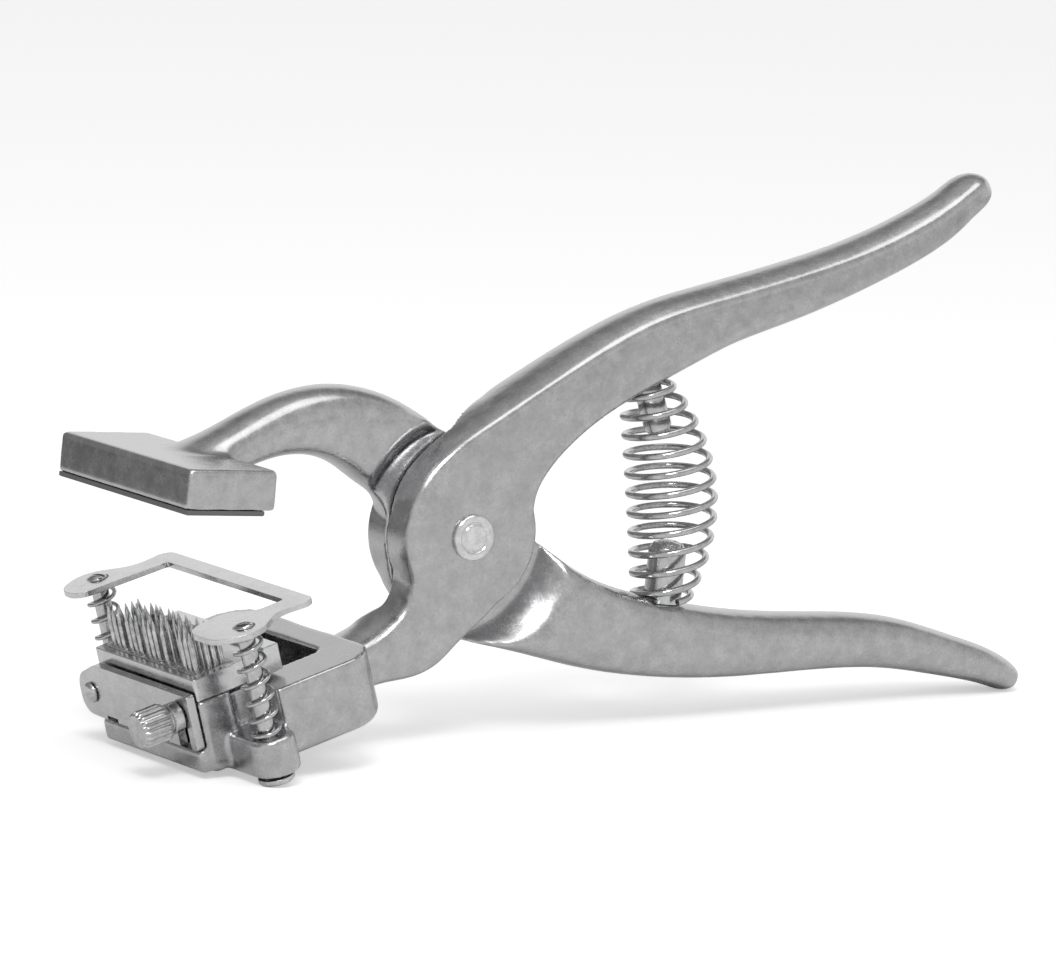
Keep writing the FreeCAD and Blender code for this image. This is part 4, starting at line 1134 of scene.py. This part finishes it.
def levers(shop: Workshop) -> None:
    """Both cast levers with the places where their forms flow together."""
    jaw = shop.jaw
    front_blends = [
        Blend((jaw.point(-43.0, 0.0, -19.0),), 13.0),
        Blend((jaw.point(-76.0, -29.0, -22.0), jaw.point(-76.0, 29.0, -22.0)), 5.0, 12),
        Blend(tuple(jaw.point(x, 0.0, z) for x, z in NECK_LINE), 13.0, 50),
        Blend(arc_points(jaw.point, HUB_LEFT, -HUB_FACE, 112.0, 215.0), 7.0, 110),
        Blend(arc_points(jaw.point, POCKET_RIM, HUB_FACE, 25.0, 55.0), 7.0, 30),
        Blend(arc_points(jaw.point, POCKET_RIM, HUB_FACE, -140.0, -95.0), 7.0, 30),
    ]
    rear_blends = [
        Blend((jaw.rear_point(-69.0, 0.0, 18.0),), 14.0),
        Blend((jaw.rear_point(-66.0, 0.0, 10.0),), 10.0),
        Blend(arc_points(jaw.rear_point, POCKET_RIM, -HUB_FACE, -62.0, -8.0), 9.0, 60),
        Blend(arc_points(jaw.rear_point, POCKET_RIM, -HUB_FACE, 98.0, 165.0), 11.0, 90),
        Blend(tuple(jaw.rear_point(x, 0.0, z) for x, z in ARM_LINE), 15.0, 110),
    ]
    CastLever("front_lever", "front_lever", PocketFlare(jaw.pivot, 1), front_blends).build(shop)
    CastLever("rear_lever", "rear_lever", PocketFlare(jaw.pivot, -1), rear_blends).build(shop)


def trimmed_nodes() -> list[TrimmedNode]:
    """The pieces whose CAD form is right and only needs its edges broken and its finish."""
    pieces = [
        TrimmedNode("anvil_pad", "rear_lever", Slot.RUBBER, PAD_RUBBER, 0.15),
        TrimmedNode("pivot_rivet", "front_lever", Slot.STEEL, POLISHED_RIVET, 0.12),
        TrimmedNode("upper_spring_stud", "front_lever", Slot.STEEL, TURNED_STEEL, 0.15),
        TrimmedNode("lower_spring_stud", "rear_lever", Slot.STEEL, TURNED_STEEL, 0.15),
        TrimmedNode("type_cassette", "front_lever", Slot.CASTING, PLATED_SHEET, 0.3),
        TrimmedNode("latch_plate", "latch_plate", Slot.CASTING, BRUSHED_PLATE, 0.25),
        TrimmedNode("release_frame", "release_frame", Slot.CASTING, PLATED_SHEET, 0.25),
    ]
    for side in ("near", "far"):
        for node in ("guide_post_", "post_nut_"):
            pieces.append(TrimmedNode(node + side, "release_frame", Slot.STEEL, TURNED_STEEL, 0.12))
    return pieces


def main() -> None:
    """Build every piece and the studio."""
    logging.basicConfig(level=logging.INFO, format="%(name)s %(message)s")
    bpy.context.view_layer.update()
    shop = Workshop(JawFrame.from_joints(frame["joints"]))
    levers(shop)
    for piece in trimmed_nodes():
        piece.build(shop)
    coil = coil_tree()
    HandleSpring().build(shop, coil)
    PostSpring("near", -33.0).build(shop, coil)
    PostSpring("far", 33.0).build(shop, coil)
    TypeRow().build(shop)
    ThumbScrew().build(shop)
    for screw in screws():
        screw.build(shop)
    Studio().build(shop)


if __name__ == "__main__":
    main()
